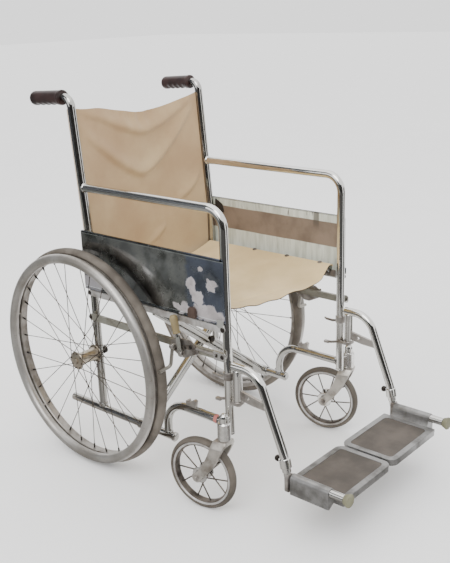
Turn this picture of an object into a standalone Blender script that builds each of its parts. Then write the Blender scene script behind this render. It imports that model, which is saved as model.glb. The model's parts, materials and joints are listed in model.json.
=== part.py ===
"""A folding wheelchair of chromed tube, as separate pieces at their real size.

Metres, +Z up. The chair faces -Y and its right-hand side is -X. Places along Y
are counted from the rear axle and turned into the chair's own frame by at(),
whose origin is on the floor under the middle of the chair.
"""

import math

import bmesh
import bpy
from mathutils import Matrix, Vector

# Clearances
GAP = 0.0003  # between faces that touch
RUN = 0.0002  # round a pin or tube that turns in its hole
PLAY = 0.0005  # beside a part that turns

# Overall places
SIDE_X = 0.237  # plane of each side frame's tubes
TUBE_R = 0.011  # 22 mm frame tube
TUBE_WALL = 0.0018
WHEEL_R = 0.3025  # rear wheel over the tyre
FRONT_REACH = 0.815  # rear axle to the footplate pins' caps
AXLE_Y = (FRONT_REACH - WHEEL_R) / 2  # puts the origin under the middle

# Back posts and push handles
HANDLE_Z = 0.988
HANDLE_END_Y = 0.181
HANDLE_DROP = 0.008  # fall of the handle over its length
LEAN_Z = 0.62  # the post leans back above this
LEAN_Y = 0.031  # how far, at the handle
HANDLE_BEND = 0.0255
GRIP_LENGTH = 0.125
GRIP_R = 0.0165
GRIP_WALL_END = 0.003
SCALLOPS = 4

# Arms and front posts
ARM_Z = 0.759
FRONT_Y = -0.472
ARM_BEND = 0.045
FRONT_FOOT_Z = 0.205
CLIP_BELOW = 0.022  # from the hanger down to the clip on the post

# Rails of a side frame
LOWER_Z = 0.131
LOWER_REAR_Y = 0.1285
LOWER_FRONT_Y = -0.280
UPPER_Z = 0.476
UPPER_HIGH = 0.020
UPPER_THICK = 0.005
MID_Z = 0.410
MID_HIGH = 0.022
MID_THICK = 0.009
BOLT_HEAD = 0.002
BOLT_SEAT = 0.0016  # how deep a head is sunk in its bar
RAIL_ROUND_OVER = 0.006  # thicker bars than this have eased edges

# Gooseneck from the lower rail to the front post
NECK_Y = -0.256
NECK_Z = 0.230
NECK_BEND = 0.066

# Skirt guards
SKIRT_REAR_Y = 0.020
SKIRT_FRONT_Y = FRONT_Y - 0.006
SKIRT_LOW_Z = 0.487
SKIRT_TOP_Z = 0.648
SKIRT_THICK = 0.0013
HEM_R = 0.003

# Rear wheels
WHEEL_OUT = 0.0475  # from the side frame to the middle plane of the wheel
WHEEL_X = SIDE_X + WHEEL_OUT
TYRE_WIDE = 0.030
TYRE_DEEP = 0.020
RIM_DEEP = 0.0105
RIM_LIP = 0.004
RIM_BED_R = WHEEL_R - TYRE_DEEP
RIM_IN_R = RIM_BED_R - RIM_DEEP
RIM_LIP_R = RIM_BED_R + RIM_LIP
RIM_WIDE = 0.0268
HANDRIM_INSET = 0.008  # from the rim's bed inwards
HANDRIM_R = RIM_BED_R - HANDRIM_INSET
HANDRIM_TUBE = 0.0102
HANDRIM_OUT = 0.0325  # from the wheel's middle plane
HANDRIM_STUDS = 6
STUD_R = 0.0035
HUB_FLANGE = 0.0295  # from the middle plane to a flange
HUB_FLANGE_R = 0.025
HUB_FLANGE_THICK = 0.003
HUB_HALF = 0.0348
HUB_BARREL_R = 0.012
SPOKES = 32
SPOKE_R = 0.0009
SPOKE_HOLE_R = 0.0212
SPOKE_CROSSES = 3
SPOKE_OFF_FLANGE = 0.0014  # each way from the middle of a flange
SPOKE_OFF_RIM = 0.0008
AXLE_R = 0.006
WHEEL_STEPS = 28

# Casters
CASTER_OUT = 0.032  # from the side frame
CASTER_X = SIDE_X + CASTER_OUT
CASTER_Y = FRONT_Y - 0.008
CASTER_R = 0.0955
CASTER_WIDE = 0.024
CASTER_TRAIL = 0.067
CASTER_TYRE_DEEP = 0.024
CASTER_RIM_R = CASTER_R - CASTER_TYRE_DEEP
CASTER_SPOKES = 10
CASTER_STEER = {"right": 0.148, "left": 0.259}  # how each stands turned
STEM_R = 0.006
BARREL_R = 0.0165
BARREL_LOW_Z = 0.2045
BARREL_TOP_Z = 0.2495
WEB_Z = 0.227  # middle of the web that carries the barrel
WEB_HIGH = 0.030
DOME_TOP_Z = 0.273
DOME_R = 0.0115
FORK_TOP_Z = 0.2040
FORK_HALF = 0.026  # over the arms
FORK_SLOT = 0.0215  # half the slot for the wheel
CASTER_AXLE_R = 0.004
CASTER_STEPS = 18

# Cross brace and seat rails
BRACE_R = 0.0105
BRACE_ANGLE = math.radians(37.2)
BRACE_A_Y = -0.1915
BRACE_B_Y = -0.168
FOOT_R = 0.0145
FOOT_LONG = 0.040
BRACE_BOLT_R = 0.004
BRACE_LONG = 2 * SIDE_X / math.cos(BRACE_ANGLE)  # between the lines over the two lower rails
SEAT_RAIL_SHORT = 0.005  # how far short of that the seat rail sits
SEAT_RAIL_ALONG = BRACE_LONG - SEAT_RAIL_SHORT
SEAT_RAIL_OFF = 0.0203  # square to the brace
SEAT_RAIL_REAR_Y = -0.012
CRADLE_BACK = 0.042  # from the front post
CRADLE_Y = FRONT_Y + CRADLE_BACK
CRADLE_LONG = 0.030
CRADLE_WALL = 0.0035
CRADLE_PLAY = 0.0015  # round the seat rail, which drops in from above
SEAT_RAIL_FRONT_Y = CRADLE_Y

# Leg rests
SWING_AHEAD = 0.028  # of the front post
SWING_Y = FRONT_Y - SWING_AHEAD
SWING_PIN_R = 0.005
SLEEVE_R = 0.0115
SLEEVE_LOW_Z = 0.2925
HANGER_Z = 0.385
HANGER_REAR_Y = SWING_Y + 0.011
HANGER_KNEE_Y = -0.5627
HANGER_SHIN_Y = -0.6345
HANGER_SHIN_Z = 0.2005
HANGER_FOOT_Y = -0.6425
HANGER_FOOT_Z = 0.160
EXTENSION_R = 0.0088
EXTENSION_FLAT_Y = HANGER_FOOT_Y - 0.006
PLATE_PIN_IN = 0.0065  # from the side frame
PLATE_PIN_X = SIDE_X - PLATE_PIN_IN
PLATE_PIN_Z = 0.144
PLATE_PIN_R = 0.006
PLATE_PIN_REAR_Y = EXTENSION_FLAT_Y - 0.0065
PLATE_PIN_FRONT_Y = 0.0155 - FRONT_REACH

# Footplates
PLATE_IN_X = 0.004
PLATE_OUT_X = PLATE_PIN_X - 0.0165
PLATE_REAR_Y = PLATE_PIN_REAR_Y + 0.023
PLATE_FRONT_Y = PLATE_PIN_FRONT_Y + 0.0145
PLATE_TOP_Z = PLATE_PIN_Z - 0.0178
PLATE_THICK = 0.0065
PLATE_BORDER = 0.017
PLATE_SKIRT_Z = PLATE_PIN_Z - 0.039
MAT_DEEP = 0.0012
HINGE_R = 0.0125

# Brakes
BRAKE_ARM_AHEAD = 0.0155  # of the tread
BRAKE_ARM_Y = -WHEEL_R - BRAKE_ARM_AHEAD
BRAKE_ARM_Z = MID_Z - 0.005
BRAKE_LEVER_Y = BRAKE_ARM_Y - 0.027
BRAKE_LEVER_Z = MID_Z - 0.018
BRAKE_PLATE_THICK = 0.0024
BRAKE_LEVER_X = SIDE_X + 0.0295
BRAKE_LEVER_THICK = 0.0036
BRAKE_PIN_R = 0.0035
BRAKE_ROD_R = 0.0045
BRAKE_EYE_HALF = 0.0045
BRAKE_TIP_Z = WHEEL_R + 0.043
BRAKE_GRIP_R = 0.0092

# Slings
CANVAS = 0.0028
SEAT_SAG = 0.036
BACK_LOW_Z = 0.498
BACK_TOP_Z = 0.958
BACK_TOP_DIP = 0.022
BACK_SAG = 0.020

SIDES = {"right": -1, "left": 1}

FINISHES = {
    "chrome": ((0.62, 0.62, 0.61), 0.16, 1.0),
    "worn_chrome": ((0.48, 0.47, 0.44), 0.34, 1.0),
    "khaki": ((0.40, 0.38, 0.30), 0.50, 0.3),
    "alloy": ((0.50, 0.48, 0.44), 0.45, 0.9),
    "steel": ((0.35, 0.34, 0.32), 0.40, 0.9),
    "dark_steel": ((0.10, 0.09, 0.08), 0.50, 0.8),
    "tyre": ((0.20, 0.18, 0.15), 0.85, 0.0),
    "grip": ((0.07, 0.035, 0.03), 0.45, 0.0),
    "olive": ((0.34, 0.30, 0.16), 0.60, 0.0),
    "cap": ((0.38, 0.38, 0.28), 0.60, 0.0),
    "canvas": ((0.58, 0.46, 0.32), 0.90, 0.0),
}


def at(x, y, z):
    """A point whose y is counted from the rear axle."""
    return Vector((x, y + AXLE_Y, z))


def around(radius, sides):
    """The radius of a many-sided hole whose flats keep clear of a pin of this radius."""
    return (radius + RUN) / math.cos(math.pi / sides)


# Scene, collections and finishes
def clear_scene():
    for old in list(bpy.data.objects):
        bpy.data.objects.remove(old, do_unlink=True)


def new_collection(name):
    made = bpy.data.collections.new(name)
    bpy.context.scene.collection.children.link(made)
    return made


clear_scene()
PARTS = new_collection("folding_wheelchair")
TOOLS = new_collection("cutters")


def finish(obj, name, kind, parent=None):
    """Name a finished piece, give it a material of its own and hang it on its pivot."""
    obj.name = name
    obj.data.name = name
    colour, roughness, metallic = FINISHES[kind]
    material = bpy.data.materials.new(name + "_finish")
    material.use_nodes = True
    shader = material.node_tree.nodes["Principled BSDF"]
    shader.inputs["Base Color"].default_value = (*colour, 1)
    shader.inputs["Roughness"].default_value = roughness
    shader.inputs["Metallic"].default_value = metallic
    obj.data.materials.clear()
    obj.data.materials.append(material)
    if parent:
        obj.parent = parent
        obj.matrix_parent_inverse = parent.matrix_world.inverted()
    return obj


def pivot(name, place, turn=0.0, parent=None):
    """An empty on a joint's axis."""
    made = bpy.data.objects.new(name + "_pivot", None)
    PARTS.objects.link(made)
    made.empty_display_size = 0.02
    made.matrix_world = Matrix.Translation(place) @ Matrix.Rotation(turn, 4, "Z")
    bpy.context.view_layer.update()
    if parent:
        made.parent = parent
        made.matrix_parent_inverse = parent.matrix_world.inverted()
    return made


def as_mesh(obj):
    """Turn a curve or a stack of modifiers into a welded mesh in the same place."""
    bpy.context.view_layer.update()
    graph = bpy.context.evaluated_depsgraph_get()
    mesh = bpy.data.meshes.new_from_object(obj.evaluated_get(graph))
    work = bmesh.new()
    work.from_mesh(mesh)
    bmesh.ops.remove_doubles(work, verts=work.verts, dist=0.000001)
    work.to_mesh(mesh)
    work.free()
    solid = bpy.data.objects.new(obj.name, mesh)
    solid.matrix_world = obj.matrix_world
    PARTS.objects.link(solid)
    bpy.data.objects.remove(obj, do_unlink=True)
    return solid


def smooth(obj, angle=40):
    """Round faces shade smooth, edges sharper than the angle stay crisp."""
    obj.data.shade_smooth()
    obj.data.set_sharp_from_angle(angle=math.radians(angle))
    return obj


def boolean(obj, tool, operation):
    """Cut, join or keep the common part with a tool that leaves the model."""
    if tool.type == "CURVE":
        tool = as_mesh(tool)
    if obj.type == "CURVE":
        obj = as_mesh(obj)
    for users in list(tool.users_collection):
        users.objects.unlink(tool)
    TOOLS.objects.link(tool)
    tool.hide_render = True
    tool.display_type = "WIRE"
    step = obj.modifiers.new(operation.lower(), "BOOLEAN")
    step.operation = operation
    step.solver = "EXACT"
    step.object = tool
    return obj


def cut(obj, tool):
    return boolean(obj, tool, "DIFFERENCE")


def weld(obj, *others):
    for other in others:
        obj = boolean(obj, other, "UNION")
    return obj


# Tubes, rods and turned pieces
def arc_points(before, corner, after, radius, step=math.radians(22.5)):
    """The bend that rounds one corner of a path."""
    into = (corner - before).normalized()
    out = (after - corner).normalized()
    turn = into.angle(out)
    if radius == 0 or turn < 0.001:
        return [corner]
    start = corner - into * radius * math.tan(turn / 2)
    centre = start + (out - into * into.dot(out)).normalized() * radius
    axis = into.cross(out)
    count = max(1, math.ceil(turn / step))
    swings = (Matrix.Rotation(turn * i / count, 3, axis) for i in range(count + 1))
    return [centre + swing @ (start - centre) for swing in swings]


def bent(*stations):
    """Points of a tube's middle line from (x, y, z, bend radius) stations."""
    places = [at(*station[:3]) for station in stations]
    points = [places[0]]
    for i in range(1, len(stations) - 1):
        radius = stations[i][3] if len(stations[i]) > 3 else 0
        points += arc_points(places[i - 1], places[i], places[i + 1], radius)
    return points + [places[-1]]


def tube(points, radius, sides=8):
    """A round bar or tube along its middle line."""
    curve = bpy.data.curves.new("tube", "CURVE")
    curve.dimensions = "3D"
    curve.bevel_depth = radius
    curve.bevel_resolution = (sides - 4) // 2
    curve.use_fill_caps = True
    spline = curve.splines.new("POLY")
    spline.points.add(len(points) - 1)
    for knot, place in zip(spline.points, points):
        knot.co = (*place, 1)
    spline.use_smooth = True
    made = bpy.data.objects.new("tube", curve)
    PARTS.objects.link(made)
    return made


def rod(start, end, radius, sides=8):
    return tube([start, end], radius, sides)


def turned(outline, steps=24):
    """Turn (radius, height) points about Z. They close in a ring, or start and end on the axis."""
    area = 0
    for (r0, h0), (r1, h1) in zip(outline, outline[1:] + outline[:1]):
        area += r0 * h1 - r1 * h0
    if area > 0:
        outline = outline[::-1]
    on_axis = outline[0][0] == 0 and outline[-1][0] == 0
    mesh = bpy.data.meshes.new("turned")
    work = bmesh.new()
    knots = [work.verts.new((r, 0, h)) for r, h in outline]
    for here, there in zip(knots, knots[1:]):
        work.edges.new((here, there))
    if not on_axis:
        work.edges.new((knots[-1], knots[0]))
    work.to_mesh(mesh)
    work.free()
    made = bpy.data.objects.new("turned", mesh)
    PARTS.objects.link(made)
    turn = made.modifiers.new("turn", "SCREW")
    turn.axis = "Z"
    turn.steps = steps
    turn.render_steps = steps
    turn.use_merge_vertices = True
    turn.merge_threshold = 0.00001
    turn.use_smooth_shade = True
    return made


def aim(obj, place, direction):
    """Stand a turned piece at a place with its own Z along a direction."""
    spin = Vector(direction).to_track_quat("Z", "Y").to_matrix().to_4x4()
    obj.matrix_world = Matrix.Translation(place) @ spin
    return obj


def cylinder(place, direction, radius, low, high, sides=12):
    """A plain turned bar from low to high along a direction."""
    bar = turned([(0, high), (radius, high), (radius, low), (0, low)], sides)
    return aim(bar, place, direction)


# Flat pieces
def rounded(*corners):
    """A closed outline of (a, b, corner radius) points with its corners rounded."""
    flat = [Vector((a, b, 0)) for a, b, _ in corners]
    points = []
    for i, (_, _, radius) in enumerate(corners):
        before, corner, after = flat[i - 1], flat[i], flat[(i + 1) % len(flat)]
        points += arc_points(before, corner, after, radius, math.radians(36))
    return [(p.x, p.y) for p in points]


def slab(outlines, thick, frame):
    """Flat outlines, the first solid and the others holes, drawn out to a thickness."""
    curve = bpy.data.curves.new("slab", "CURVE")
    curve.dimensions = "2D"
    curve.fill_mode = "BOTH"
    curve.extrude = thick / 2
    for outline in outlines:
        spline = curve.splines.new("POLY")
        spline.points.add(len(outline) - 1)
        for knot, (a, b) in zip(spline.points, outline):
            knot.co = (a, b, 0, 1)
        spline.use_cyclic_u = True
    made = bpy.data.objects.new("slab", curve)
    PARTS.objects.link(made)
    made.matrix_world = frame
    return as_mesh(made)


def side_view(x):
    """A frame whose flat outlines are (y, z) at a given x."""
    return Matrix(((0, 0, 1, x), (1, 0, 0, AXLE_Y), (0, 1, 0, 0), (0, 0, 0, 1)))


def front_view(y):
    """A frame whose flat outlines are (x, z) at a given y."""
    return Matrix(((1, 0, 0, 0), (0, 0, -1, y + AXLE_Y), (0, 1, 0, 0), (0, 0, 0, 1)))


def top_view(z):
    """A frame whose flat outlines are (x, y) at a given z."""
    return Matrix(((1, 0, 0, 0), (0, 1, 0, AXLE_Y), (0, 0, 1, z), (0, 0, 0, 1)))


def ring(a, b, radius, sides=16):
    """A round outline or hole."""
    steps = (2 * math.pi * i / sides for i in range(sides))
    return [(a + radius * math.cos(t), b + radius * math.sin(t)) for t in steps]


def bevel(obj, width, angle=40):
    """Ease the edges of a cast or moulded piece."""
    step = obj.modifiers.new("eased_edges", "BEVEL")
    step.width = width
    step.segments = 1
    step.limit_method = "ANGLE"
    step.angle_limit = math.radians(angle)
    step.use_clamp_overlap = True
    return obj


# Side frame
def handle_line(side):
    """Where the push handle starts and ends, and its direction."""
    x = side * SIDE_X
    start, end = at(x, LEAN_Y, HANDLE_Z), at(x, HANDLE_END_Y, HANDLE_Z - HANDLE_DROP)
    return start, end, (end - start).normalized()


def post_line(side):
    """Middle line of a back post and its handle."""
    x = side * SIDE_X
    _, end, run = handle_line(side)
    tip = end - run * (GRIP_WALL_END + GAP)
    return bent(
        (x, 0, LOWER_Z + TUBE_R / 2),
        (x, 0, LEAN_Z, 0.30),
        (x, LEAN_Y, HANDLE_Z, HANDLE_BEND),
        (x, tip.y - AXLE_Y, tip.z),
    )


def arm_line(side):
    """Middle line of an arm and its front post."""
    x = side * SIDE_X
    rise = (ARM_Z - LEAN_Z) / (HANDLE_Z - LEAN_Z)
    return bent(
        (x, LEAN_Y * rise - TUBE_R / 2, ARM_Z),
        (x, FRONT_Y, ARM_Z, ARM_BEND),
        (x, FRONT_Y, FRONT_FOOT_Z),
    )


def lower_line(side):
    x = side * SIDE_X
    return bent((x, LOWER_REAR_Y, LOWER_Z), (x, LOWER_FRONT_Y, LOWER_Z))


def bolt_head(side, x, y, z, radius=0.0065):
    """A low domed head on an outer face."""
    outline = [
        (0, BOLT_HEAD),
        (radius * 0.6, BOLT_HEAD),
        (radius, BOLT_HEAD * 0.3),
        (radius, -BOLT_SEAT),
        (0, -BOLT_SEAT),
    ]
    return aim(turned(outline, 8), at(side * x, y, z), (side, 0, 0))


def make_back_post(label, side):
    post = tube(post_line(side), TUBE_R)
    post = cut(post, tube(lower_line(side), TUBE_R + GAP))
    post = cut(post, cylinder(at(side * SIDE_X, 0, WHEEL_R), (1, 0, 0), around(AXLE_R, 12), -0.03, 0.03))
    return finish(smooth(post), label + "_back_post", "chrome")


def make_hand_grip(label, side):
    """Moulded grip: a collar, a bulged sleeve with finger hollows and a round closed end."""
    _, rear, run = handle_line(side)
    bore = around(TUBE_R, 14)
    outline = [
        (0, 0),
        (GRIP_R * 0.62, 0),
        (GRIP_R * 0.92, -0.0035),
        (GRIP_R, -0.009),
        (GRIP_R * 0.97, -GRIP_LENGTH * 0.5),
        (GRIP_R * 0.97, -GRIP_LENGTH + 0.009),
        (GRIP_R * 1.14, -GRIP_LENGTH + 0.006),
        (GRIP_R * 1.12, -GRIP_LENGTH),
        (bore, -GRIP_LENGTH),
        (bore, -GRIP_WALL_END),
        (0, -GRIP_WALL_END),
    ]
    grip = aim(turned(outline, 14), rear, run)
    pitch = (GRIP_LENGTH - 0.030) / SCALLOPS
    down = Vector((0, run.z, -run.y))
    for i in range(SCALLOPS):
        middle = rear - run * (0.020 + pitch * (i + 0.5)) + down * (GRIP_R + pitch * 0.36)
        grip = cut(grip, cylinder(middle, (1, 0, 0), pitch * 0.54, -0.03, 0.03, 12))
    return finish(grip, label + "_hand_grip", "grip")


def make_arm_tube(label, side):
    """Arm and front post in one bent tube, with the swing pin, clip and finger on the post."""
    x = side * SIDE_X
    arm = tube(arm_line(side), TUBE_R)
    arm = cut(arm, tube(post_line(side), TUBE_R + GAP))
    bore = TUBE_R - TUBE_WALL
    arm = cut(arm, cylinder(at(x, FRONT_Y, FRONT_FOOT_Z), (0, 0, 1), bore, -0.01, 0.018))
    lug_low = SLEEVE_LOW_Z - PLAY - 0.005
    lug = slab(
        [rounded((x - 0.008, FRONT_Y, 0), (x + 0.008, FRONT_Y, 0), (x + 0.008, SWING_Y - 0.008, 0.007),
                 (x - 0.008, SWING_Y - 0.008, 0.007))],
        0.005, top_view(lug_low + 0.0025),
    )
    clip_z = HANGER_Z - CLIP_BELOW
    pin = cylinder(at(x, SWING_Y, 0), (0, 0, 1), SWING_PIN_R, lug_low + 0.001, clip_z, 8)
    clip = cylinder(at(x, FRONT_Y, 0), (0, 0, 1), TUBE_R + 0.0022, clip_z - 0.004, clip_z + 0.004, 10)
    reach = bent(
        (x, FRONT_Y + TUBE_R, clip_z),
        (x, FRONT_Y + 0.026, clip_z + 0.004, 0.01),
        (x, FRONT_Y + 0.048, clip_z + 0.014),
    )
    finger = tube(reach, 0.0022, 6)
    return finish(smooth(weld(arm, lug, pin, clip, finger)), label + "_arm_tube", "chrome")


def seat_rail_place(side):
    """Middle of a seat rail's section at rest: x and z."""
    along = Vector((math.cos(BRACE_ANGLE), math.sin(BRACE_ANGLE)))
    square = Vector((-along.y, along.x))
    place = Vector((-SIDE_X, LOWER_Z)) + along * SEAT_RAIL_ALONG + square * SEAT_RAIL_OFF
    return side * place.x, place.y


def make_seat_cradle(label, side):
    """The open hook that the seat rail's front end rests in, and its lug to the front post."""
    x, z = seat_rail_place(side)
    inner, outer = TUBE_R + CRADLE_PLAY, TUBE_R + CRADLE_PLAY + CRADLE_WALL
    sweep = [math.radians(-150 + 20 * i) for i in range(7)]
    hook = [(x + outer * math.cos(t), z + outer * math.sin(t)) for t in sweep]
    hook += [(x + inner * math.cos(t), z + inner * math.sin(t)) for t in reversed(sweep)]
    shell = slab([hook], CRADLE_LONG, front_view(CRADLE_Y))
    rear, front = CRADLE_Y + CRADLE_LONG / 2 - 0.002, FRONT_Y
    low, high, under = z - outer - 0.006, z - 0.004, z - inner - 0.001
    outline = rounded(
        (rear, low + 0.004, 0.002),
        (front, low, 0),
        (front, high, 0),
        (CRADLE_Y - CRADLE_LONG / 2 - 0.007, high, 0.002),
        (CRADLE_Y - CRADLE_LONG / 2 - 0.001, under, 0.002),
        (rear, under, 0),
    )
    lug = slab([outline], 0.005, side_view(x + side * 0.0045))
    hook = as_mesh(cut(weld(shell, lug), tube(arm_line(side), TUBE_R + GAP)))
    return finish(smooth(hook), label + "_seat_cradle", "chrome")


def flat_rail(label, side, z, high, thick, name, kind):
    """An oval bar bolted across the outer faces of both posts."""
    near = SIDE_X + TUBE_R + GAP
    half = high / 2
    bar = slab(
        [rounded((half * 0.6, z - half, half), (half * 0.6, z + half, half),
                 (FRONT_Y - half * 0.6, z + half, half), (FRONT_Y - half * 0.6, z - half, half))],
        thick, side_view(side * (near + thick / 2)),
    )
    if thick > RAIL_ROUND_OVER:
        bar = as_mesh(bevel(bar, thick * 0.28))
    face = near + thick
    bar = weld(bar, bolt_head(side, face, 0, z), bolt_head(side, face, FRONT_Y, z))
    return finish(smooth(bar), label + name, kind)


def make_lower_rail(label, side):
    """Lower tube: open tipping end at the back, a plugged end with a ring in front."""
    rail = tube(lower_line(side), TUBE_R)
    x = side * SIDE_X
    bore = TUBE_R - TUBE_WALL
    rail = cut(rail, cylinder(at(x, LOWER_REAR_Y, LOWER_Z), (0, 1, 0), bore, -0.030, 0.01))
    plug = turned(
        [(0, 0), (TUBE_R * 0.8, 0), (TUBE_R + 0.0016, 0.003), (TUBE_R + 0.0016, 0.010), (0, 0.010)], 12
    )
    rail = weld(rail, aim(plug, at(x, LOWER_FRONT_Y - 0.004, LOWER_Z), (0, 1, 0)))
    return finish(smooth(rail), label + "_lower_rail", "chrome")


def make_gooseneck(label, side):
    """Bent tube up from the lower rail and forward to the front post, with its clip."""
    x = side * SIDE_X
    line = bent(
        (x, NECK_Y, LOWER_Z + TUBE_R / 2), (x, NECK_Y, NECK_Z, NECK_BEND), (x, FRONT_Y + TUBE_R / 2, NECK_Z)
    )
    neck = tube(line, TUBE_R)
    neck = cut(neck, tube(lower_line(side), TUBE_R + GAP))
    neck = cut(neck, tube(arm_line(side), TUBE_R + GAP))
    low, high = NECK_Z + TUBE_R * 0.6, NECK_Z + TUBE_R + 0.014
    rear = NECK_Y - NECK_BEND - 0.008
    outline = rounded(
        (rear, low, 0),
        (rear, high - 0.006, 0.004),
        (rear - 0.015, high, 0.006),
        (rear - 0.032, high - 0.004, 0.006),
        (rear - 0.032, low, 0),
    )
    clip = slab([outline], 0.005, side_view(x))
    screw = cylinder(at(x, rear - 0.004, high - 0.007), (1, 0, 0), 0.0028, -0.0075, 0.0075, 8)
    return finish(smooth(weld(neck, clip, screw)), label + "_gooseneck", "chrome")


def make_caster_barrel(label, side):
    """Upright bearing tube with a domed cap, on a web from the front post."""
    place = at(side * CASTER_X, CASTER_Y, 0)
    bore = around(STEM_R, 12)
    outline = [
        (0, DOME_TOP_Z),
        (DOME_R * 0.5, DOME_TOP_Z - 0.0012),
        (DOME_R * 0.87, DOME_TOP_Z - 0.005),
        (DOME_R, DOME_TOP_Z - 0.011),
        (DOME_R, BARREL_TOP_Z + 0.002),
        (BARREL_R * 0.86, BARREL_TOP_Z),
        (BARREL_R, BARREL_TOP_Z - 0.003),
        (BARREL_R, BARREL_LOW_Z + 0.001),
        (BARREL_R - 0.001, BARREL_LOW_Z),
        (bore, BARREL_LOW_Z),
        (bore, BARREL_TOP_Z - 0.002),
        (0, BARREL_TOP_Z - 0.002),
    ]
    barrel = as_mesh(aim(turned(outline, 12), place, (0, 0, 1)))
    inner, outer = side * SIDE_X, side * (CASTER_X - BARREL_R * 0.7)
    outline = [
        (inner, FRONT_Y + 0.006),
        (outer, CASTER_Y + 0.0105),
        (outer, CASTER_Y - 0.0105),
        (inner, FRONT_Y - 0.006),
    ]
    web = slab([outline], WEB_HIGH, top_view(WEB_Z))
    web = as_mesh(cut(web, tube(arm_line(side), TUBE_R + GAP)))
    return finish(smooth(weld(barrel, outer_half(web, side))), label + "_caster_barrel", "alloy")


def outer_half(obj, side):
    """Keep what lies outside the plane of the side frame's tubes."""
    near, far = side * (SIDE_X + TUBE_R * 0.75), side * (SIDE_X + 0.1)
    outline = [(near, -0.6), (near, -0.3), (far, -0.3), (far, -0.6)]
    block = slab([outline], 0.2, top_view(WEB_Z))
    return as_mesh(boolean(obj, block, "INTERSECT"))


def make_skirt_guard(label, side):
    """Pressed side panel with a rolled hem along its top and bottom."""
    near = SIDE_X + TUBE_R + GAP
    panel = slab(
        [rounded((SKIRT_REAR_Y, SKIRT_LOW_Z, 0.008), (SKIRT_REAR_Y, SKIRT_TOP_Z, 0.008),
                 (SKIRT_FRONT_Y, SKIRT_TOP_Z, 0.008), (SKIRT_FRONT_Y, SKIRT_LOW_Z, 0.008))],
        SKIRT_THICK, side_view(side * (near + SKIRT_THICK / 2)),
    )
    hem_x = side * (near + SKIRT_THICK / 2 + HEM_R * 0.75)
    for z in (SKIRT_LOW_Z + HEM_R, SKIRT_TOP_Z - HEM_R):
        hem = rod(at(hem_x, SKIRT_REAR_Y - 0.007, z), at(hem_x, SKIRT_FRONT_Y + 0.007, z), HEM_R, 6)
        panel = weld(panel, hem)
    return finish(panel, label + "_skirt_guard", "worn_chrome")


def make_axle(label, side):
    """Wheel axle: a round nut inside the post, a shoulder outside it, a hex nut at the wheel's end."""
    inner, outer = SIDE_X - TUBE_R - PLAY, SIDE_X + TUBE_R + PLAY
    hub_in, hub_out = WHEEL_X - HUB_HALF, WHEEL_X + HUB_HALF
    outline = [
        (0, inner - 0.0135),
        (0.0075, inner - 0.0135),
        (0.010, inner - 0.011),
        (0.010, inner),
        (AXLE_R, inner),
        (AXLE_R, outer),
        (0.009, outer),
        (0.009, hub_in - GAP),
        (AXLE_R, hub_in - GAP),
        (AXLE_R, hub_out + 0.0015),
        (0, hub_out + 0.0015),
    ]
    axle = as_mesh(aim(turned(outline, 10), at(0, 0, WHEEL_R), (side, 0, 0)))
    nut = cylinder(at(0, 0, WHEEL_R), (side, 0, 0), 0.0095, hub_out + PLAY, hub_out + 0.0045, 6)
    return finish(smooth(weld(axle, nut)), label + "_axle", "dark_steel")


# Rear wheels
def wheel_frame(side):
    """Stand a turned piece in the wheel, its own Z pointing outboard."""
    return at(side * WHEEL_X, 0, WHEEL_R), (side, 0, 0)


def both_ways(half):
    """A closed section from its half: (radius, offset) points, mirrored about the middle."""
    return half + [(r, -a) for r, a in reversed(half) if a > 0]


def make_tyre(label, side, parent):
    half = [
        (WHEEL_R, TYRE_WIDE * 0.14),
        (WHEEL_R - 0.0040, TYRE_WIDE * 0.41),
        (RIM_LIP_R + 0.0052, TYRE_WIDE * 0.5),
        (RIM_BED_R + GAP, RIM_WIDE / 2 - 0.0041),
    ]
    tyre = aim(turned(both_ways(half), WHEEL_STEPS), *wheel_frame(side))
    return finish(tyre, label + "_tyre", "tyre", parent)


def make_rim(label, side, parent):
    half = [
        (RIM_BED_R, RIM_WIDE / 2 - 0.0018),
        (RIM_LIP_R, RIM_WIDE / 2 - 0.0010),
        (RIM_BED_R - 0.001, RIM_WIDE / 2),
        (RIM_IN_R, RIM_WIDE * 0.29),
    ]
    rim = aim(turned(both_ways(half), WHEEL_STEPS), *wheel_frame(side))
    return finish(rim, label + "_rim", "alloy", parent)


def make_handrim(label, side, parent):
    """Push ring on six short studs from the rim's side."""
    section = [
        (HANDRIM_R + HANDRIM_TUBE * math.cos(t), HANDRIM_OUT + HANDRIM_TUBE * math.sin(t))
        for t in (2 * math.pi * (i + 0.5) / 7 for i in range(7))
    ]
    hoop = as_mesh(aim(turned(section, WHEEL_STEPS), *wheel_frame(side)))
    middle, _ = wheel_frame(side)
    stud_r = RIM_BED_R - 0.001 - STUD_R
    for i in range(HANDRIM_STUDS):
        turn = 2 * math.pi * (i + 0.25) / HANDRIM_STUDS
        spot = middle + Vector((0, stud_r * math.cos(turn), stud_r * math.sin(turn)))
        stud = cylinder(spot, (side, 0, 0), STUD_R, RIM_WIDE / 2 + GAP, HANDRIM_OUT, 6)
        hoop = weld(hoop, stud)
    return finish(smooth(hoop), label + "_handrim", "alloy", parent)


def spoke_ends(i):
    """One spoke's ends in the wheel, as (offset along the axle, radius, angle)."""
    flange = 1 if i % 2 else -1
    ahead = 1 if i % 4 < 2 else -1
    step = 2 * math.pi / SPOKES
    turn = step * i
    hub_end = (flange * (HUB_FLANGE + ahead * SPOKE_OFF_FLANGE), SPOKE_HOLE_R, turn)
    rim_flat = RIM_IN_R * math.cos(math.pi / WHEEL_STEPS)
    rim_end = (flange * SPOKE_OFF_RIM, rim_flat - GAP * 2, turn + ahead * SPOKE_CROSSES * step * 2)
    return hub_end, rim_end


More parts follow.
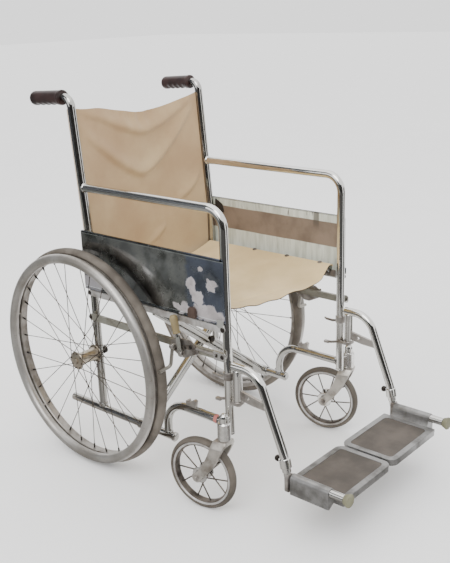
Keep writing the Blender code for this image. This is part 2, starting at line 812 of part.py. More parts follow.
def laced_spokes(side):
    """Wire spokes laced across each other from both flanges to the rim."""
    middle, _ = wheel_frame(side)
    curve = bpy.data.curves.new("spokes", "CURVE")
    curve.dimensions = "3D"
    curve.bevel_depth = SPOKE_R
    curve.bevel_resolution = 0
    curve.use_fill_caps = True
    for i in range(SPOKES):
        spline = curve.splines.new("POLY")
        spline.points.add(1)
        for knot, (a, r, turn) in zip(spline.points, spoke_ends(i)):
            place = middle + Vector((side * a, r * math.cos(turn), r * math.sin(turn)))
            knot.co = (*place, 1)
    made = bpy.data.objects.new("spokes", curve)
    PARTS.objects.link(made)
    return made


def make_spoked_hub(label, side, parent):
    """Long hub of two flanges on a waisted barrel with cups at its ends, and the spokes laced into it."""
    bore = around(AXLE_R, 10)
    half = [
        (HUB_BARREL_R, HUB_FLANGE - 0.008),
        (HUB_BARREL_R + 0.003, HUB_FLANGE - HUB_FLANGE_THICK / 2),
        (HUB_FLANGE_R, HUB_FLANGE - HUB_FLANGE_THICK / 2),
        (HUB_FLANGE_R, HUB_FLANGE + HUB_FLANGE_THICK / 2),
        (HUB_BARREL_R + 0.003, HUB_FLANGE + HUB_FLANGE_THICK / 2),
        (HUB_BARREL_R + 0.001, HUB_HALF),
        (bore, HUB_HALF),
    ]
    hub = as_mesh(aim(turned(both_ways(half), 10), *wheel_frame(side)))
    return finish(smooth(weld(hub, laced_spokes(side))), label + "_spoked_hub", "steel", parent)


# Casters, modelled trailing straight back from their pivot and then turned
def caster_view(side_way):
    """A frame in the caster's own axes: (trail, height) outlines across X, or (x, height) ones along Y."""
    if side_way:
        return Matrix(((0, 0, 1, 0), (1, 0, 0, 0), (0, 1, 0, 0), (0, 0, 0, 1)))
    return Matrix(((1, 0, 0, 0), (0, 0, -1, 0), (0, 1, 0, 0), (0, 0, 0, 1)))


def stand_caster(obj, label, side):
    """Carry a piece from the caster's own axes to its place under the barrel."""
    turn = Matrix.Rotation(CASTER_STEER[label], 4, "Z")
    bpy.context.view_layer.update()
    obj.matrix_world = Matrix.Translation(at(side * CASTER_X, CASTER_Y, 0)) @ turn @ obj.matrix_world
    return obj


def fork_arm_outline():
    """Side view of the fork: a bowed arm from the crown down and back to the axle."""
    top = Vector((0.001, FORK_TOP_Z + 0.012))
    bow = Vector((0.012, 0.150))
    end = Vector((CASTER_TRAIL, CASTER_R))
    front, back = [], []
    steps = 5
    for i in range(steps + 1):
        t = i / steps
        middle = top * (1 - t) ** 2 + bow * 2 * t * (1 - t) + end * t * t
        run = ((bow - top) * (1 - t) + (end - bow) * t).normalized()
        half = 0.0185 * (1 - t) + 0.0100 * t
        across = Vector((run.y, -run.x)) * half
        front.append(middle - across if middle.x - across.x < middle.x else middle + across)
        back.append(middle + across if middle.x - across.x < middle.x else middle - across)
    boss_r = 0.0135
    heading = math.atan2(end.y - bow.y, end.x - bow.x)
    boss = [
        (end.x + boss_r * math.cos(heading + t), end.y + boss_r * math.sin(heading + t))
        for t in (math.radians(-80 + 32 * k) for k in range(6))
    ]
    return [tuple(p) for p in front[:-1]] + boss + [tuple(p) for p in reversed(back[:-1])]


def make_caster_fork(label, side, parent):
    """Cast fork: crown, two bowed arms, the swivel stem and the axle bolt with its nuts."""
    arms = slab([fork_arm_outline()], 0.08, caster_view(True))
    crown_half = 0.0185
    shoulder, slot_top = FORK_TOP_Z - 0.024, FORK_TOP_Z - 0.016
    gate = slab(
        [rounded(
            (-FORK_HALF, 0.06, 0), (-FORK_HALF, shoulder, 0.012),
            (-crown_half, FORK_TOP_Z - 0.006, 0.006), (-crown_half, FORK_TOP_Z, 0.002),
            (crown_half, FORK_TOP_Z, 0.002), (crown_half, FORK_TOP_Z - 0.006, 0.006),
            (FORK_HALF, shoulder, 0.012), (FORK_HALF, 0.06, 0),
            (FORK_SLOT, 0.06, 0), (FORK_SLOT, slot_top, 0.012),
            (-FORK_SLOT, slot_top, 0.012), (-FORK_SLOT, 0.06, 0),
        )],
        0.30, caster_view(False),
    )
    fork = as_mesh(boolean(arms, gate, "INTERSECT"))
    stem = cylinder(Vector((0, 0, 0)), (0, 0, 1), STEM_R, FORK_TOP_Z - 0.010, BARREL_TOP_Z - 0.0035, 10)
    axle_at = Vector((0, CASTER_TRAIL, CASTER_R))
    bolt = cylinder(axle_at, (1, 0, 0), CASTER_AXLE_R, -FORK_HALF - 0.007, FORK_HALF + 0.007, 8)
    tools = [stem, bolt]
    for way in (-1, 1):
        nut = cylinder(axle_at, (way, 0, 0), 0.0078, FORK_HALF - 0.001, FORK_HALF + 0.0045, 6)
        tools.append(nut)
    fork = smooth(as_mesh(weld(fork, *tools)), 35)
    return finish(stand_caster(fork, label, side), label + "_caster_fork", "alloy", parent)


def make_caster_wheel(label, side, parent):
    """Hub and rim of a small wheel, with crossed wire spokes between them."""
    axle_at = Vector((0, CASTER_TRAIL, CASTER_R))
    hub_half = FORK_SLOT - PLAY
    bore = around(CASTER_AXLE_R, 8)
    hub = both_ways(
        [(0.0088, 0.0075), (0.0128, 0.0095), (0.0128, 0.013), (0.0085, 0.0145), (0.0080, hub_half),
         (bore, hub_half)]
    )
    wheel = as_mesh(aim(turned(hub, 8), axle_at, (1, 0, 0)))
    rim = both_ways([(CASTER_RIM_R, 0.0085), (CASTER_RIM_R - 0.005, 0.0085), (CASTER_RIM_R - 0.0065, 0.0045)])
    wires = bpy.data.curves.new("wires", "CURVE")
    wires.dimensions = "3D"
    wires.bevel_depth = 0.0016
    wires.bevel_resolution = 0
    wires.use_fill_caps = True
    step = 2 * math.pi / CASTER_SPOKES
    for i in range(CASTER_SPOKES):
        way = 1 if i % 2 else -1
        near, far = step * i, step * i + way * step * 0.95
        a = way * 0.0112
        ends = [(a, 0.0100, near), (way * 0.0022, CASTER_RIM_R - 0.0045, far)]
        spline = wires.splines.new("POLY")
        spline.points.add(1)
        for knot, (off, r, turn) in zip(spline.points, ends):
            place = axle_at + Vector((off, r * math.cos(turn), r * math.sin(turn)))
            knot.co = (*place, 1)
    spokes = bpy.data.objects.new("wires", wires)
    PARTS.objects.link(spokes)
    hoop = aim(turned(rim, CASTER_STEPS), axle_at, (1, 0, 0))
    wheel = smooth(as_mesh(weld(wheel, hoop, spokes)))
    return finish(stand_caster(wheel, label, side), label + "_caster_wheel", "alloy", parent)


def make_caster_tyre(label, side, parent):
    axle_at = Vector((0, CASTER_TRAIL, CASTER_R))
    wide = CASTER_WIDE / 2
    section = both_ways([
        (CASTER_R, 0.004),
        (CASTER_R - 0.0035, wide * 0.82),
        (CASTER_R - 0.0115, wide),
        (CASTER_RIM_R + GAP, 0.0085),
    ])
    tyre = aim(turned(section, CASTER_STEPS), axle_at, (1, 0, 0))
    return finish(stand_caster(tyre, label, side), label + "_caster_tyre", "tyre", parent)


# Cross brace
def brace_point(foot_side, along, square=0.0):
    """A point of the brace that stands on one side's lower rail, as (x, z)."""
    run = Vector((math.cos(BRACE_ANGLE), math.sin(BRACE_ANGLE)))
    up = Vector((-run.y, run.x))
    place = Vector((-SIDE_X, LOWER_Z)) + run * along + up * square
    return -foot_side * place.x, place.y


def make_brace(name, foot_side, y, parent):
    """One leg of the X: a foot sleeve on the lower rail and a seat rail welded on top."""
    low, high = brace_point(foot_side, 0.004), brace_point(foot_side, BRACE_LONG)
    leg = rod(at(low[0], y, low[1]), at(high[0], y, high[1]), BRACE_R)
    foot_x = foot_side * SIDE_X
    foot_at = at(foot_x, y, LOWER_Z)
    half = FOOT_LONG / 2
    sleeve = cylinder(foot_at, (0, 1, 0), FOOT_R, -half, half, 16)
    rail_x, rail_z = brace_point(foot_side, SEAT_RAIL_ALONG, SEAT_RAIL_OFF)
    rail = rod(at(rail_x, SEAT_RAIL_REAR_Y, rail_z), at(rail_x, SEAT_RAIL_FRONT_Y, rail_z), TUBE_R)
    brace = weld(leg, sleeve, rail)
    brace = cut(brace, cylinder(foot_at, (0, 1, 0), around(TUBE_R, 16), -0.04, 0.04, 16))
    middle = brace_point(foot_side, BRACE_LONG / 2)
    hole = cylinder(at(middle[0], y, middle[1]), (0, 1, 0), around(BRACE_BOLT_R, 10), -0.03, 0.03, 10)
    return finish(smooth(cut(brace, hole)), name, "chrome", parent)


def make_pivot_bolt(parent):
    """The bolt through both braces, with a washer between them, a round head and a nut."""
    z = LOWER_Z + SIDE_X * math.tan(BRACE_ANGLE)
    middle = (BRACE_A_Y + BRACE_B_Y) / 2
    reach = (BRACE_B_Y - BRACE_A_Y) / 2 + BRACE_R + PLAY
    spacer = (BRACE_B_Y - BRACE_A_Y) / 2 - BRACE_R - GAP
    outline = [
        (0, -reach - 0.006),
        (0.007, -reach - 0.006),
        (0.0105, -reach - 0.004),
        (0.0105, -reach),
        (BRACE_BOLT_R, -reach),
        (BRACE_BOLT_R, -spacer),
        (0.009, -spacer),
        (0.009, spacer),
        (BRACE_BOLT_R, spacer),
        (BRACE_BOLT_R, reach + 0.009),
        (0, reach + 0.009),
    ]
    bolt = as_mesh(aim(turned(outline, 8), at(0, middle, z), (0, 1, 0)))
    nut = cylinder(at(0, middle, z), (0, 1, 0), 0.008, reach, reach + 0.006, 6)
    return finish(smooth(weld(bolt, nut)), "pivot_bolt", "dark_steel", parent)


# Slings
def sheet(name, rows, parent=None):
    """A canvas from rows of points on its under side, given its thickness outward."""
    mesh = bpy.data.meshes.new(name)
    work = bmesh.new()
    lines = [[work.verts.new(place) for place in row] for row in rows]
    for here, there in zip(lines, lines[1:]):
        for k in range(len(here) - 1):
            work.faces.new((here[k], here[k + 1], there[k + 1], there[k]))
    work.normal_update()
    work.to_mesh(mesh)
    work.free()
    made = bpy.data.objects.new(name, mesh)
    PARTS.objects.link(made)
    thick = made.modifiers.new("canvas", "SOLIDIFY")
    thick.thickness = CANVAS
    thick.offset = 1
    made.data.shade_smooth()
    return finish(made, name, "canvas", parent)


def make_seat_sling(parent):
    """Canvas wrapped over both seat rails, hanging in a shallow trough with a hollowed front edge."""
    rail_x, rail_z = seat_rail_place(1)
    leave = math.radians(62)  # where the canvas leaves the rail, from the horizontal
    wrap = (TUBE_R + GAP) / math.cos(math.radians(12))
    edge = Vector((rail_x - wrap * math.cos(leave), rail_z + wrap * math.sin(leave)))
    rear, front = SEAT_RAIL_REAR_Y - 0.010, SEAT_RAIL_FRONT_Y + 0.002
    rows = []
    across, deep = 5, 7
    for j in range(deep + 1):
        v = j / deep
        row = []
        for k in range(4):
            turn = math.radians(25) + (math.pi - leave - math.radians(25)) * k / 4
            spot = (rail_x + wrap * math.cos(turn), rail_z + wrap * math.sin(turn))
            row.append((spot, 0))
        for k in range(across + 1):
            u = k / across
            x = edge.x * (1 - u)
            fall = 1 - (x / edge.x) ** 2
            ripple = 0.0022 * math.sin(3 * math.pi * v + 2.0 * u) * fall * (1 - fall) * 4
            sag = SEAT_SAG * (0.80 + 0.20 * v) * fall + ripple
            row.append(((x, edge.y - sag), fall))
        half = []
        for (x, z), fall in row:
            y = rear + (front - rear) * v + 0.020 * fall * v ** 3
            half.append((x, y, z))
        whole = half + [(-x, y, z) for x, y, z in reversed(half[:-1])]
        rows.append([at(*place) for place in whole])
    return sheet("seat_sling", rows, parent)


def back_line_y(z):
    """How far back the posts stand at a height."""
    return LEAN_Y * max(0.0, z - LEAN_Z) / (HANDLE_Z - LEAN_Z)


def make_back_sling():
    """Canvas fixed behind the back posts, slack in the middle, its top edge dipped."""
    start = math.radians(-55)  # behind the post, round its back to the inner side
    leave = math.radians(-165)
    wrap = (TUBE_R + GAP) / math.cos((start - leave) / 8)
    rows = []
    across, tall = 6, 8
    for j in range(tall + 1):
        v = j / tall
        row = []
        turns = [start + (leave - start) * k / 4 for k in range(4)]
        spots = [(SIDE_X + wrap * math.cos(t), -wrap * math.sin(t), 0) for t in turns]
        edge_x, edge_y = SIDE_X + wrap * math.cos(leave), -wrap * math.sin(leave)
        for k in range(across + 1):
            u = k / across
            fall = 1 - (1 - u) ** 2
            spots.append((edge_x * (1 - u), edge_y, fall))
        for x, y, fall in spots:
            top = BACK_TOP_Z - BACK_TOP_DIP * fall
            z = BACK_LOW_Z + (top - BACK_LOW_Z) * v
            slack = BACK_SAG * fall * (0.55 + 0.45 * math.sin(math.pi * min(1.0, v * 1.1)))
            fold = 0.0030 * math.sin(9.0 * (v + 0.35 * (1 - fall))) * fall * (1 - fall) * 4 * v
            row.append((x, back_line_y(z) + y + slack + fold, z))
        whole = row + [(-x, y, z) for x, y, z in reversed(row[:-1])]
        rows.append([at(*place) for place in whole])
    return sheet("back_sling", rows)


# Brakes
def make_brake_bracket(label, side):
    """Dark plate on the mid rail with the two pivot pins and a stay to the front post."""
    near = SIDE_X + TUBE_R + GAP + MID_THICK + GAP
    y, z = BRAKE_LEVER_Y, BRAKE_LEVER_Z
    outline = rounded(
        (y + 0.039, z + 0.004, 0.004),
        (y + 0.039, z + 0.024, 0.006),
        (y + 0.010, z + 0.036, 0.004),
        (y - 0.027, z + 0.038, 0.006),
        (y - 0.052, z + 0.024, 0.005),
        (y - 0.053, z + 0.010, 0.005),
        (y - 0.007, z - 0.012, 0.008),
        (y + 0.009, z - 0.012, 0.008),
    )
    plate = slab([outline], BRAKE_PLATE_THICK, side_view(side * (near + BRAKE_PLATE_THICK / 2)))
    foot = near + 0.001
    lever_half, eye_half = BRAKE_LEVER_THICK / 2 + PLAY, BRAKE_EYE_HALF + PLAY
    lever_pin = stepped_pin(
        side, BRAKE_LEVER_Y, BRAKE_LEVER_Z, foot, BRAKE_LEVER_X - lever_half, BRAKE_LEVER_X + lever_half
    )
    arm_pin = stepped_pin(
        side, BRAKE_ARM_Y, BRAKE_ARM_Z, foot, BRAKE_LEVER_X - eye_half, BRAKE_LEVER_X + eye_half
    )
    stay_r = 0.003
    x = side * (near + stay_r)
    stay = rod(at(x, y - 0.047, z + 0.022), at(x, FRONT_Y + 0.017, z + 0.022), stay_r, 8)
    return finish(smooth(weld(plate, lever_pin, arm_pin, stay)), label + "_brake_bracket", "dark_steel")


def stepped_pin(side, y, z, low, shoulder, head):
    """A pivot pin: a thick foot, the bearing and a low head."""
    outline = [
        (0, low),
        (0.0062, low),
        (0.0062, shoulder),
        (BRAKE_PIN_R, shoulder),
        (BRAKE_PIN_R, head),
        (0.0062, head),
        (0.0052, head + 0.0025),
        (0, head + 0.0025),
    ]
    return aim(turned(outline, 8), at(0, y, z), (side, 0, 0))


def brake_grip_line(side):
    """Foot, direction and length of the brake grip."""
    x = side * BRAKE_LEVER_X
    foot = at(x, BRAKE_LEVER_Y + 0.00945, BRAKE_LEVER_Z + 0.0510)
    top = at(x, BRAKE_LEVER_Y + 0.0200, BRAKE_LEVER_Z + 0.0965)
    return foot, (top - foot).normalized(), (top - foot).length


def make_brake_lever(label, side, parent):
    """Flat lever on its pivot, drawn out to a round handle inside the rubber grip."""
    bar = slab(
        [rounded((BRAKE_LEVER_Y - 0.0085, BRAKE_LEVER_Z - 0.0085, 0.0078),
                 (BRAKE_LEVER_Y + 0.0085, BRAKE_LEVER_Z - 0.0085, 0.0078),
                 (BRAKE_LEVER_Y + 0.0135, BRAKE_LEVER_Z + 0.0480, 0.003),
                 (BRAKE_LEVER_Y + 0.0010, BRAKE_LEVER_Z + 0.0480, 0.003)),
         ring(BRAKE_LEVER_Y, BRAKE_LEVER_Z, around(BRAKE_PIN_R, 10), 10)],
        BRAKE_LEVER_THICK, side_view(side * BRAKE_LEVER_X),
    )
    foot, run, _ = brake_grip_line(side)
    shank = rod(foot - run * 0.009, foot + run * 0.036, 0.0050)
    return finish(smooth(weld(bar, shank)), label + "_brake_lever", "steel", parent)


def make_brake_grip(label, side, parent):
    """Olive rubber grip with a collar and a round end, pushed over the lever's shank."""
    foot, run, length = brake_grip_line(side)
    bore = around(0.0050, 10)
    outline = [
        (0, length),
        (BRAKE_GRIP_R * 0.60, length - 0.0008),
        (BRAKE_GRIP_R * 0.93, length - 0.0040),
        (BRAKE_GRIP_R, length - 0.0090),
        (BRAKE_GRIP_R * 0.90, 0.0050),
        (BRAKE_GRIP_R * 1.06, 0.0040),
        (BRAKE_GRIP_R * 1.06, 0.0),
        (bore, 0.0),
        (bore, length - 0.0090),
        (0, length - 0.0090),
    ]
    grip = aim(turned(outline, 10), foot, run)
    return finish(grip, label + "_brake_grip", "olive", parent)


def make_brake_arm(label, side, parent):
    """Bent rod from its pivot eye down to the tread and across it."""
    x_in = side * BRAKE_LEVER_X
    reach = WHEEL_R + GAP + PLAY + BRAKE_ROD_R
    tip_y = -math.sqrt(reach ** 2 - (BRAKE_TIP_Z - WHEEL_R) ** 2)
    line = bent(
        (x_in, BRAKE_ARM_Y, BRAKE_ARM_Z),
        (x_in, tip_y - 0.003, BRAKE_TIP_Z + 0.004, 0.010),
        (side * (WHEEL_X + TYRE_WIDE / 2 + 0.004), tip_y, BRAKE_TIP_Z),
    )
    arm = tube(line, BRAKE_ROD_R)
    place = at(side * BRAKE_LEVER_X, BRAKE_ARM_Y, BRAKE_ARM_Z)
    eye = cylinder(place, (side, 0, 0), 0.0085, -BRAKE_EYE_HALF, BRAKE_EYE_HALF, 10)
    arm = weld(arm, eye)
    arm = cut(arm, cylinder(place, (side, 0, 0), around(BRAKE_PIN_R, 10), -0.02, 0.02, 10))
    return finish(smooth(arm), label + "_brake_arm", "steel", parent)


# Leg rests
def hanger_foot(side):
    """Where a hanger's tube ends, and the direction that its extension slides in."""
    run = Vector((0, HANGER_FOOT_Y - HANGER_SHIN_Y, HANGER_FOOT_Z - HANGER_SHIN_Z)).normalized()
    return at(side * SIDE_X, HANGER_FOOT_Y, HANGER_FOOT_Z), run


def make_leg_hanger(label, side, parent):
    """Bent hanger tube with its pivot sleeve, strap, clamp collar and knob."""
    x = side * SIDE_X
    line = bent(
        (x, HANGER_REAR_Y, HANGER_Z),
        (x, HANGER_KNEE_Y, HANGER_Z, 0.060),
        (x, HANGER_SHIN_Y, HANGER_SHIN_Z, 0.080),
        (x, HANGER_FOOT_Y, HANGER_FOOT_Z),
    )
    hanger = tube(line, TUBE_R)
    sleeve = cylinder(at(x, SWING_Y, 0), (0, 0, 1), SLEEVE_R, SLEEVE_LOW_Z, HANGER_Z - 0.006, 12)
    z, knee = SLEEVE_LOW_Z, SWING_Y - 0.045
    outline = rounded(
        (SWING_Y - 0.004, z + 0.0375, 0),
        (SWING_Y - 0.004, z + 0.0135, 0),
        (knee, z + 0.0075, 0.02),
        (HANGER_KNEE_Y - 0.0293, z + 0.0055, 0),
        (HANGER_KNEE_Y - 0.0293, z + 0.0215, 0),
        (knee, z + 0.0295, 0.02),
    )
    strap = slab([outline, ring(SWING_Y - 0.033, z + 0.022, 0.0042, 8)], 0.0045, side_view(x))
    foot, run = hanger_foot(side)
    collar = cylinder(foot - run * 0.022, run, 0.0142, -0.012, 0.012, 12)
    knob_at = foot - run * 0.010 + Vector((-side * 0.013, 0.004, 0))
    knob_run = Vector((-side * 0.30, 1, 0)).normalized()
    outline = [
        (0, 0.024),
        (0.0048, 0.024),
        (0.0062, 0.020),
        (0.0062, 0.013),
        (0.0032, 0.012),
        (0.0032, -0.004),
        (0, -0.004),
    ]
    knob = turned(outline, 6)
    hanger = weld(hanger, sleeve, strap, collar, aim(knob, knob_at, knob_run))
    pin_bore = around(SWING_PIN_R, 12)
    pin_top = HANGER_Z - CLIP_BELOW + 0.002
    hanger = cut(hanger, cylinder(at(x, SWING_Y, 0), (0, 0, 1), pin_bore, SLEEVE_LOW_Z - 0.04, pin_top))
    hanger = cut(hanger, cylinder(foot, run, around(EXTENSION_R, 12) + GAP, -0.034, 0.02, 12))
    return finish(smooth(hanger), label + "_leg_hanger", "chrome", parent)


def make_extension(label, side, parent):
    """Sliding extension: round in the hanger, flattened at the foot, with the footplate's pin."""
    foot, run = hanger_foot(side)
    tube_part = rod(foot - run * 0.030, foot + run * 0.018, EXTENSION_R)
    half, neck = 0.0120, 0.0085
    middle = side * (SIDE_X - 0.0005)
    z = PLATE_PIN_Z
    outline = rounded(
        (middle - half, z - 0.032, 0.006),
        (middle + half, z - 0.032, 0.006),
        (middle + half, z + 0.004, 0.004),
        (middle + neck, z + 0.012, 0.003),
        (middle - neck, z + 0.012, 0.003),
        (middle - half, z + 0.004, 0.004),
    )
    flat = slab([outline], 0.0095, front_view(EXTENSION_FLAT_Y))
    pin_x = side * PLATE_PIN_X
    pin = rod(at(pin_x, EXTENSION_FLAT_Y, z), at(pin_x, 0.0035 - FRONT_REACH, z), PLATE_PIN_R)
    return finish(smooth(weld(tube_part, flat, pin)), label + "_extension", "chrome", parent)


def make_end_cap(label, side, parent):
    """Flared rubber cap on the end of the footplate's pin."""
    length = FRONT_REACH + PLATE_PIN_FRONT_Y - PLAY
    bore = around(PLATE_PIN_R, 12)
    outline = [
        (0, length),
        (0.0095, length),
        (0.0138, length - 0.0020),
        (0.0146, length - 0.0050),
        (0.0112, 0.0010),
        (0.0112, 0.0),
        (bore, 0.0),
        (bore, length - 0.0030),
        (0, length - 0.0030),
    ]
    cap = aim(turned(outline, 12), at(side * PLATE_PIN_X, PLATE_PIN_FRONT_Y - PLAY, PLATE_PIN_Z), (0, -1, 0))
    return finish(cap, label + "_end_cap", "cap", parent)


def make_footplate(label, side, parent):
    """Cast footplate: a sunk mat field inside a border, ribs below, and its hinge barrel and side face."""
    inner, outer = side * PLATE_IN_X, side * PLATE_OUT_X
    corner = 0.020
    middle_z = PLATE_TOP_Z - PLATE_THICK / 2
    outline = rounded(
        (inner, PLATE_REAR_Y, corner),
        (outer, PLATE_REAR_Y, 0.004),
        (outer, PLATE_FRONT_Y, 0.004),
        (inner, PLATE_FRONT_Y, corner),
    )
    plate = slab([outline], PLATE_THICK, top_view(middle_z))
    edge = side * PLATE_BORDER
    outline = rounded(
        (inner + edge, PLATE_REAR_Y - PLATE_BORDER, 0.010),
        (outer - edge * 0.6, PLATE_REAR_Y - PLATE_BORDER, 0.006),
        (outer - edge * 0.6, PLATE_FRONT_Y + PLATE_BORDER, 0.006),
        (inner + edge, PLATE_FRONT_Y + PLATE_BORDER, 0.010),
    )
    mat = slab([outline], MAT_DEEP * 2, top_view(PLATE_TOP_Z))
    section = [
        (PLATE_PIN_X + HINGE_R * math.cos(t), PLATE_PIN_Z + HINGE_R * math.sin(t))
        for t in (math.radians(20 * k) for k in range(10))
    ]
    section += [
        (PLATE_OUT_X + 0.0025, PLATE_TOP_Z + 0.0078),
        (PLATE_OUT_X - 0.0025, PLATE_TOP_Z - 0.0008),
        (PLATE_OUT_X - 0.0050, middle_z - 0.002),
        (PLATE_PIN_X + HINGE_R - 0.005, PLATE_SKIRT_Z),
        (PLATE_PIN_X + HINGE_R, PLATE_SKIRT_Z + 0.002),
    ]
    rear = PLATE_PIN_REAR_Y - PLAY
    across = front_view((rear + PLATE_PIN_FRONT_Y) / 2)
    barrel = slab([[(side * a, b) for a, b in section]], rear - PLATE_PIN_FRONT_Y, across)
    plate = weld(cut(plate, mat), barrel)
    place = at(side * PLATE_PIN_X, 0, PLATE_PIN_Z)
    hole = cylinder(place, (0, 1, 0), around(PLATE_PIN_R, 12), -FRONT_REACH, PLATE_PIN_REAR_Y + 0.05)
    plate = cut(plate, hole)
    return finish(smooth(plate, 30), label + "_footplate", "alloy", parent)


def make_latch_lever(label, side, parent):
    """Release lever on the pivot sleeve, past the inner side of the post, with a thumb tail."""
    x = side * SIDE_X
    z = SLEEVE_LOW_Z + 0.0045
    tail = bent(
        (x - side * 0.0152, SWING_Y - 0.002, z),
        (x - side * 0.0168, FRONT_Y - 0.002, z, 0.03),
        (x - side * 0.0110, FRONT_Y + 0.020, z, 0.02),
        (x - side * 0.0060, FRONT_Y + 0.047, z + 0.004),
    )
    lever = tube(tail, 0.0030, 6)
    outer, inner = SLEEVE_R + 0.0042, around(SLEEVE_R, 12)
    eye = slab([ring(x, SWING_Y, outer, 12), ring(x, SWING_Y, inner, 12)], 0.0060, top_view(z))
    outline = rounded(
        (x - side * 0.0115, FRONT_Y + 0.048, 0.002),
        (x - side * 0.0010, FRONT_Y + 0.048, 0.002),
        (x - side * 0.0020, FRONT_Y + 0.032, 0),
        (x - side * 0.0115, FRONT_Y + 0.032, 0),
    )
    thumb = slab([outline], 0.0030, top_view(z + 0.0035))
    return finish(smooth(weld(eye, lever, thumb)), label + "_latch_lever", "steel", parent)


def build_side(label, side):
    make_back_post(label, side)
    make_hand_grip(label, side)
    make_arm_tube(label, side)
    make_seat_cradle(label, side)
    flat_rail(label, side, UPPER_Z, UPPER_HIGH, UPPER_THICK, "_upper_rail", "chrome")
    flat_rail(label, side, MID_Z, MID_HIGH, MID_THICK, "_mid_rail", "khaki")
    make_lower_rail(label, side)
    make_gooseneck(label, side)
    make_caster_barrel(label, side)
    make_skirt_guard(label, side)
    make_axle(label, side)
    make_brake_bracket(label, side)

    lever = pivot(label + "_brake_lever", at(side * BRAKE_LEVER_X, BRAKE_LEVER_Y, BRAKE_LEVER_Z))
    make_brake_lever(label, side, lever)
    make_brake_grip(label, side, lever)
    swing_at = at(side * BRAKE_LEVER_X, BRAKE_ARM_Y, BRAKE_ARM_Z)
    make_brake_arm(label, side, pivot(label + "_brake_arm", swing_at))

    wheel = pivot(label + "_wheel", at(side * WHEEL_X, 0, WHEEL_R))
    make_tyre(label, side, wheel)
    make_rim(label, side, wheel)
    make_handrim(label, side, wheel)
    make_spoked_hub(label, side, wheel)

    steer = CASTER_STEER[label]
    swivel = pivot(label + "_swivel", at(side * CASTER_X, CASTER_Y, BARREL_LOW_Z), steer)
    make_caster_fork(label, side, swivel)
    trail = Vector((-math.sin(steer), math.cos(steer), 0)) * CASTER_TRAIL
    small = pivot(label + "_caster", at(side * CASTER_X, CASTER_Y, CASTER_R) + trail, steer, swivel)
    make_caster_wheel(label, side, small)
    make_caster_tyre(label, side, small)

    swing = pivot(label + "_leg_rest", at(side * SIDE_X, SWING_Y, HANGER_Z))
    make_leg_hanger(label, side, swing)
    make_extension(label, side, swing)
    make_end_cap(label, side, swing)
    hinge = pivot(label + "_footplate", at(side * PLATE_PIN_X, PLATE_PIN_REAR_Y, PLATE_PIN_Z), 0, swing)
    make_footplate(label, side, hinge)
    catch = pivot(label + "_latch", at(side * SIDE_X, SWING_Y, SLEEVE_LOW_Z), 0, swing)
    make_latch_lever(label, side, catch)


def build_chair():
    for label, side in SIDES.items():
        build_side(label, side)
    foot_b = pivot("brace_b", at(-SIDE_X, BRACE_B_Y, LOWER_Z))
    crossing = pivot("brace_a", at(0, BRACE_A_Y, LOWER_Z + SIDE_X * math.tan(BRACE_ANGLE)), 0, foot_b)
    make_brace("brace_b", -1, BRACE_B_Y, foot_b)
    make_brace("brace_a", 1, BRACE_A_Y, crossing)
    make_pivot_bolt(foot_b)
    make_seat_sling(crossing)
    make_back_sling()


build_chair()
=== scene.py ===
# %% [markdown]
# # A folding wheelchair of chromed tube
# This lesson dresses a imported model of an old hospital-type folding wheelchair. The frame that is
# loaded first fixes every place and every joint. Each cell then makes one piece, or one finish, at
# its real size in metres: +Z is up, the chair faces -Y, and the sitter's right hand is on the -X side.

# %% Load the frame
import json
import math

import bmesh
import bpy
from mathutils import Matrix, Vector, noise
from mathutils.geometry import tessellate_polygon


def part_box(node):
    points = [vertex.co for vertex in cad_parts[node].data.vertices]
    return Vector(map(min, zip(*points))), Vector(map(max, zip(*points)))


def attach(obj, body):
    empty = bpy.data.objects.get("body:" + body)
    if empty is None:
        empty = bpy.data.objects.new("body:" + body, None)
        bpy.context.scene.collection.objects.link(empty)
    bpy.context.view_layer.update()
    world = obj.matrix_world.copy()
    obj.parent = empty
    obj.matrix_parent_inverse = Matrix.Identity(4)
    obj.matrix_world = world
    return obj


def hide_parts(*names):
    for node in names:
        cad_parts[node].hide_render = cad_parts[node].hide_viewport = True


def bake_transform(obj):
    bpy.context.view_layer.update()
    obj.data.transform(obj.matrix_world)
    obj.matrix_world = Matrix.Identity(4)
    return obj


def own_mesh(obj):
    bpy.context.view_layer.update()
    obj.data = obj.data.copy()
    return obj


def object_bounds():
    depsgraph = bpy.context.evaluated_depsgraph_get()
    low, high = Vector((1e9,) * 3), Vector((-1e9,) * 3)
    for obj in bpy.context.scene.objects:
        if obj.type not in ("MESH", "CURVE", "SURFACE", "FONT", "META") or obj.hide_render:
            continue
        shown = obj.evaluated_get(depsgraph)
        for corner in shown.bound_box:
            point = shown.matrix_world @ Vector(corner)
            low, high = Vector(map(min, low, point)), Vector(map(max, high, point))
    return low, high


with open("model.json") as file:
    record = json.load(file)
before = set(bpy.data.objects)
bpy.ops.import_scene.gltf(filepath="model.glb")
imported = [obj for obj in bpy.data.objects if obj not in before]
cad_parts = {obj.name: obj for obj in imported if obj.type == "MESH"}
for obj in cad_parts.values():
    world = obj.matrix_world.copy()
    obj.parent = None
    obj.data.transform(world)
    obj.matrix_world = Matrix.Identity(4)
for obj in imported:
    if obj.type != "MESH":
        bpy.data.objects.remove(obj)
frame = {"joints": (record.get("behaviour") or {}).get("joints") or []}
CAD_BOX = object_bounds()

# %% [markdown]
# ## Places read from the frame
# The rear axle is the point that the other places count from, as a wheelchair builder would do it,
# so every `y` below is the distance behind the axle. The side frames' plane and the tube's radius
# come from the solids, and a change of the solids moves the dressed pieces with them.

# %% Main places
JOINTS = {joint["name"]: joint for joint in frame["joints"]}
SIDES = {"right": -1, "left": 1}
AXLE = Vector(JOINTS["left_wheel_spin"]["pos_m"])
GAP = 0.0003


def middle_of(node):
    low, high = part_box(node)
    return (low + high) / 2


def size_of(node):
    low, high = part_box(node)
    return high - low


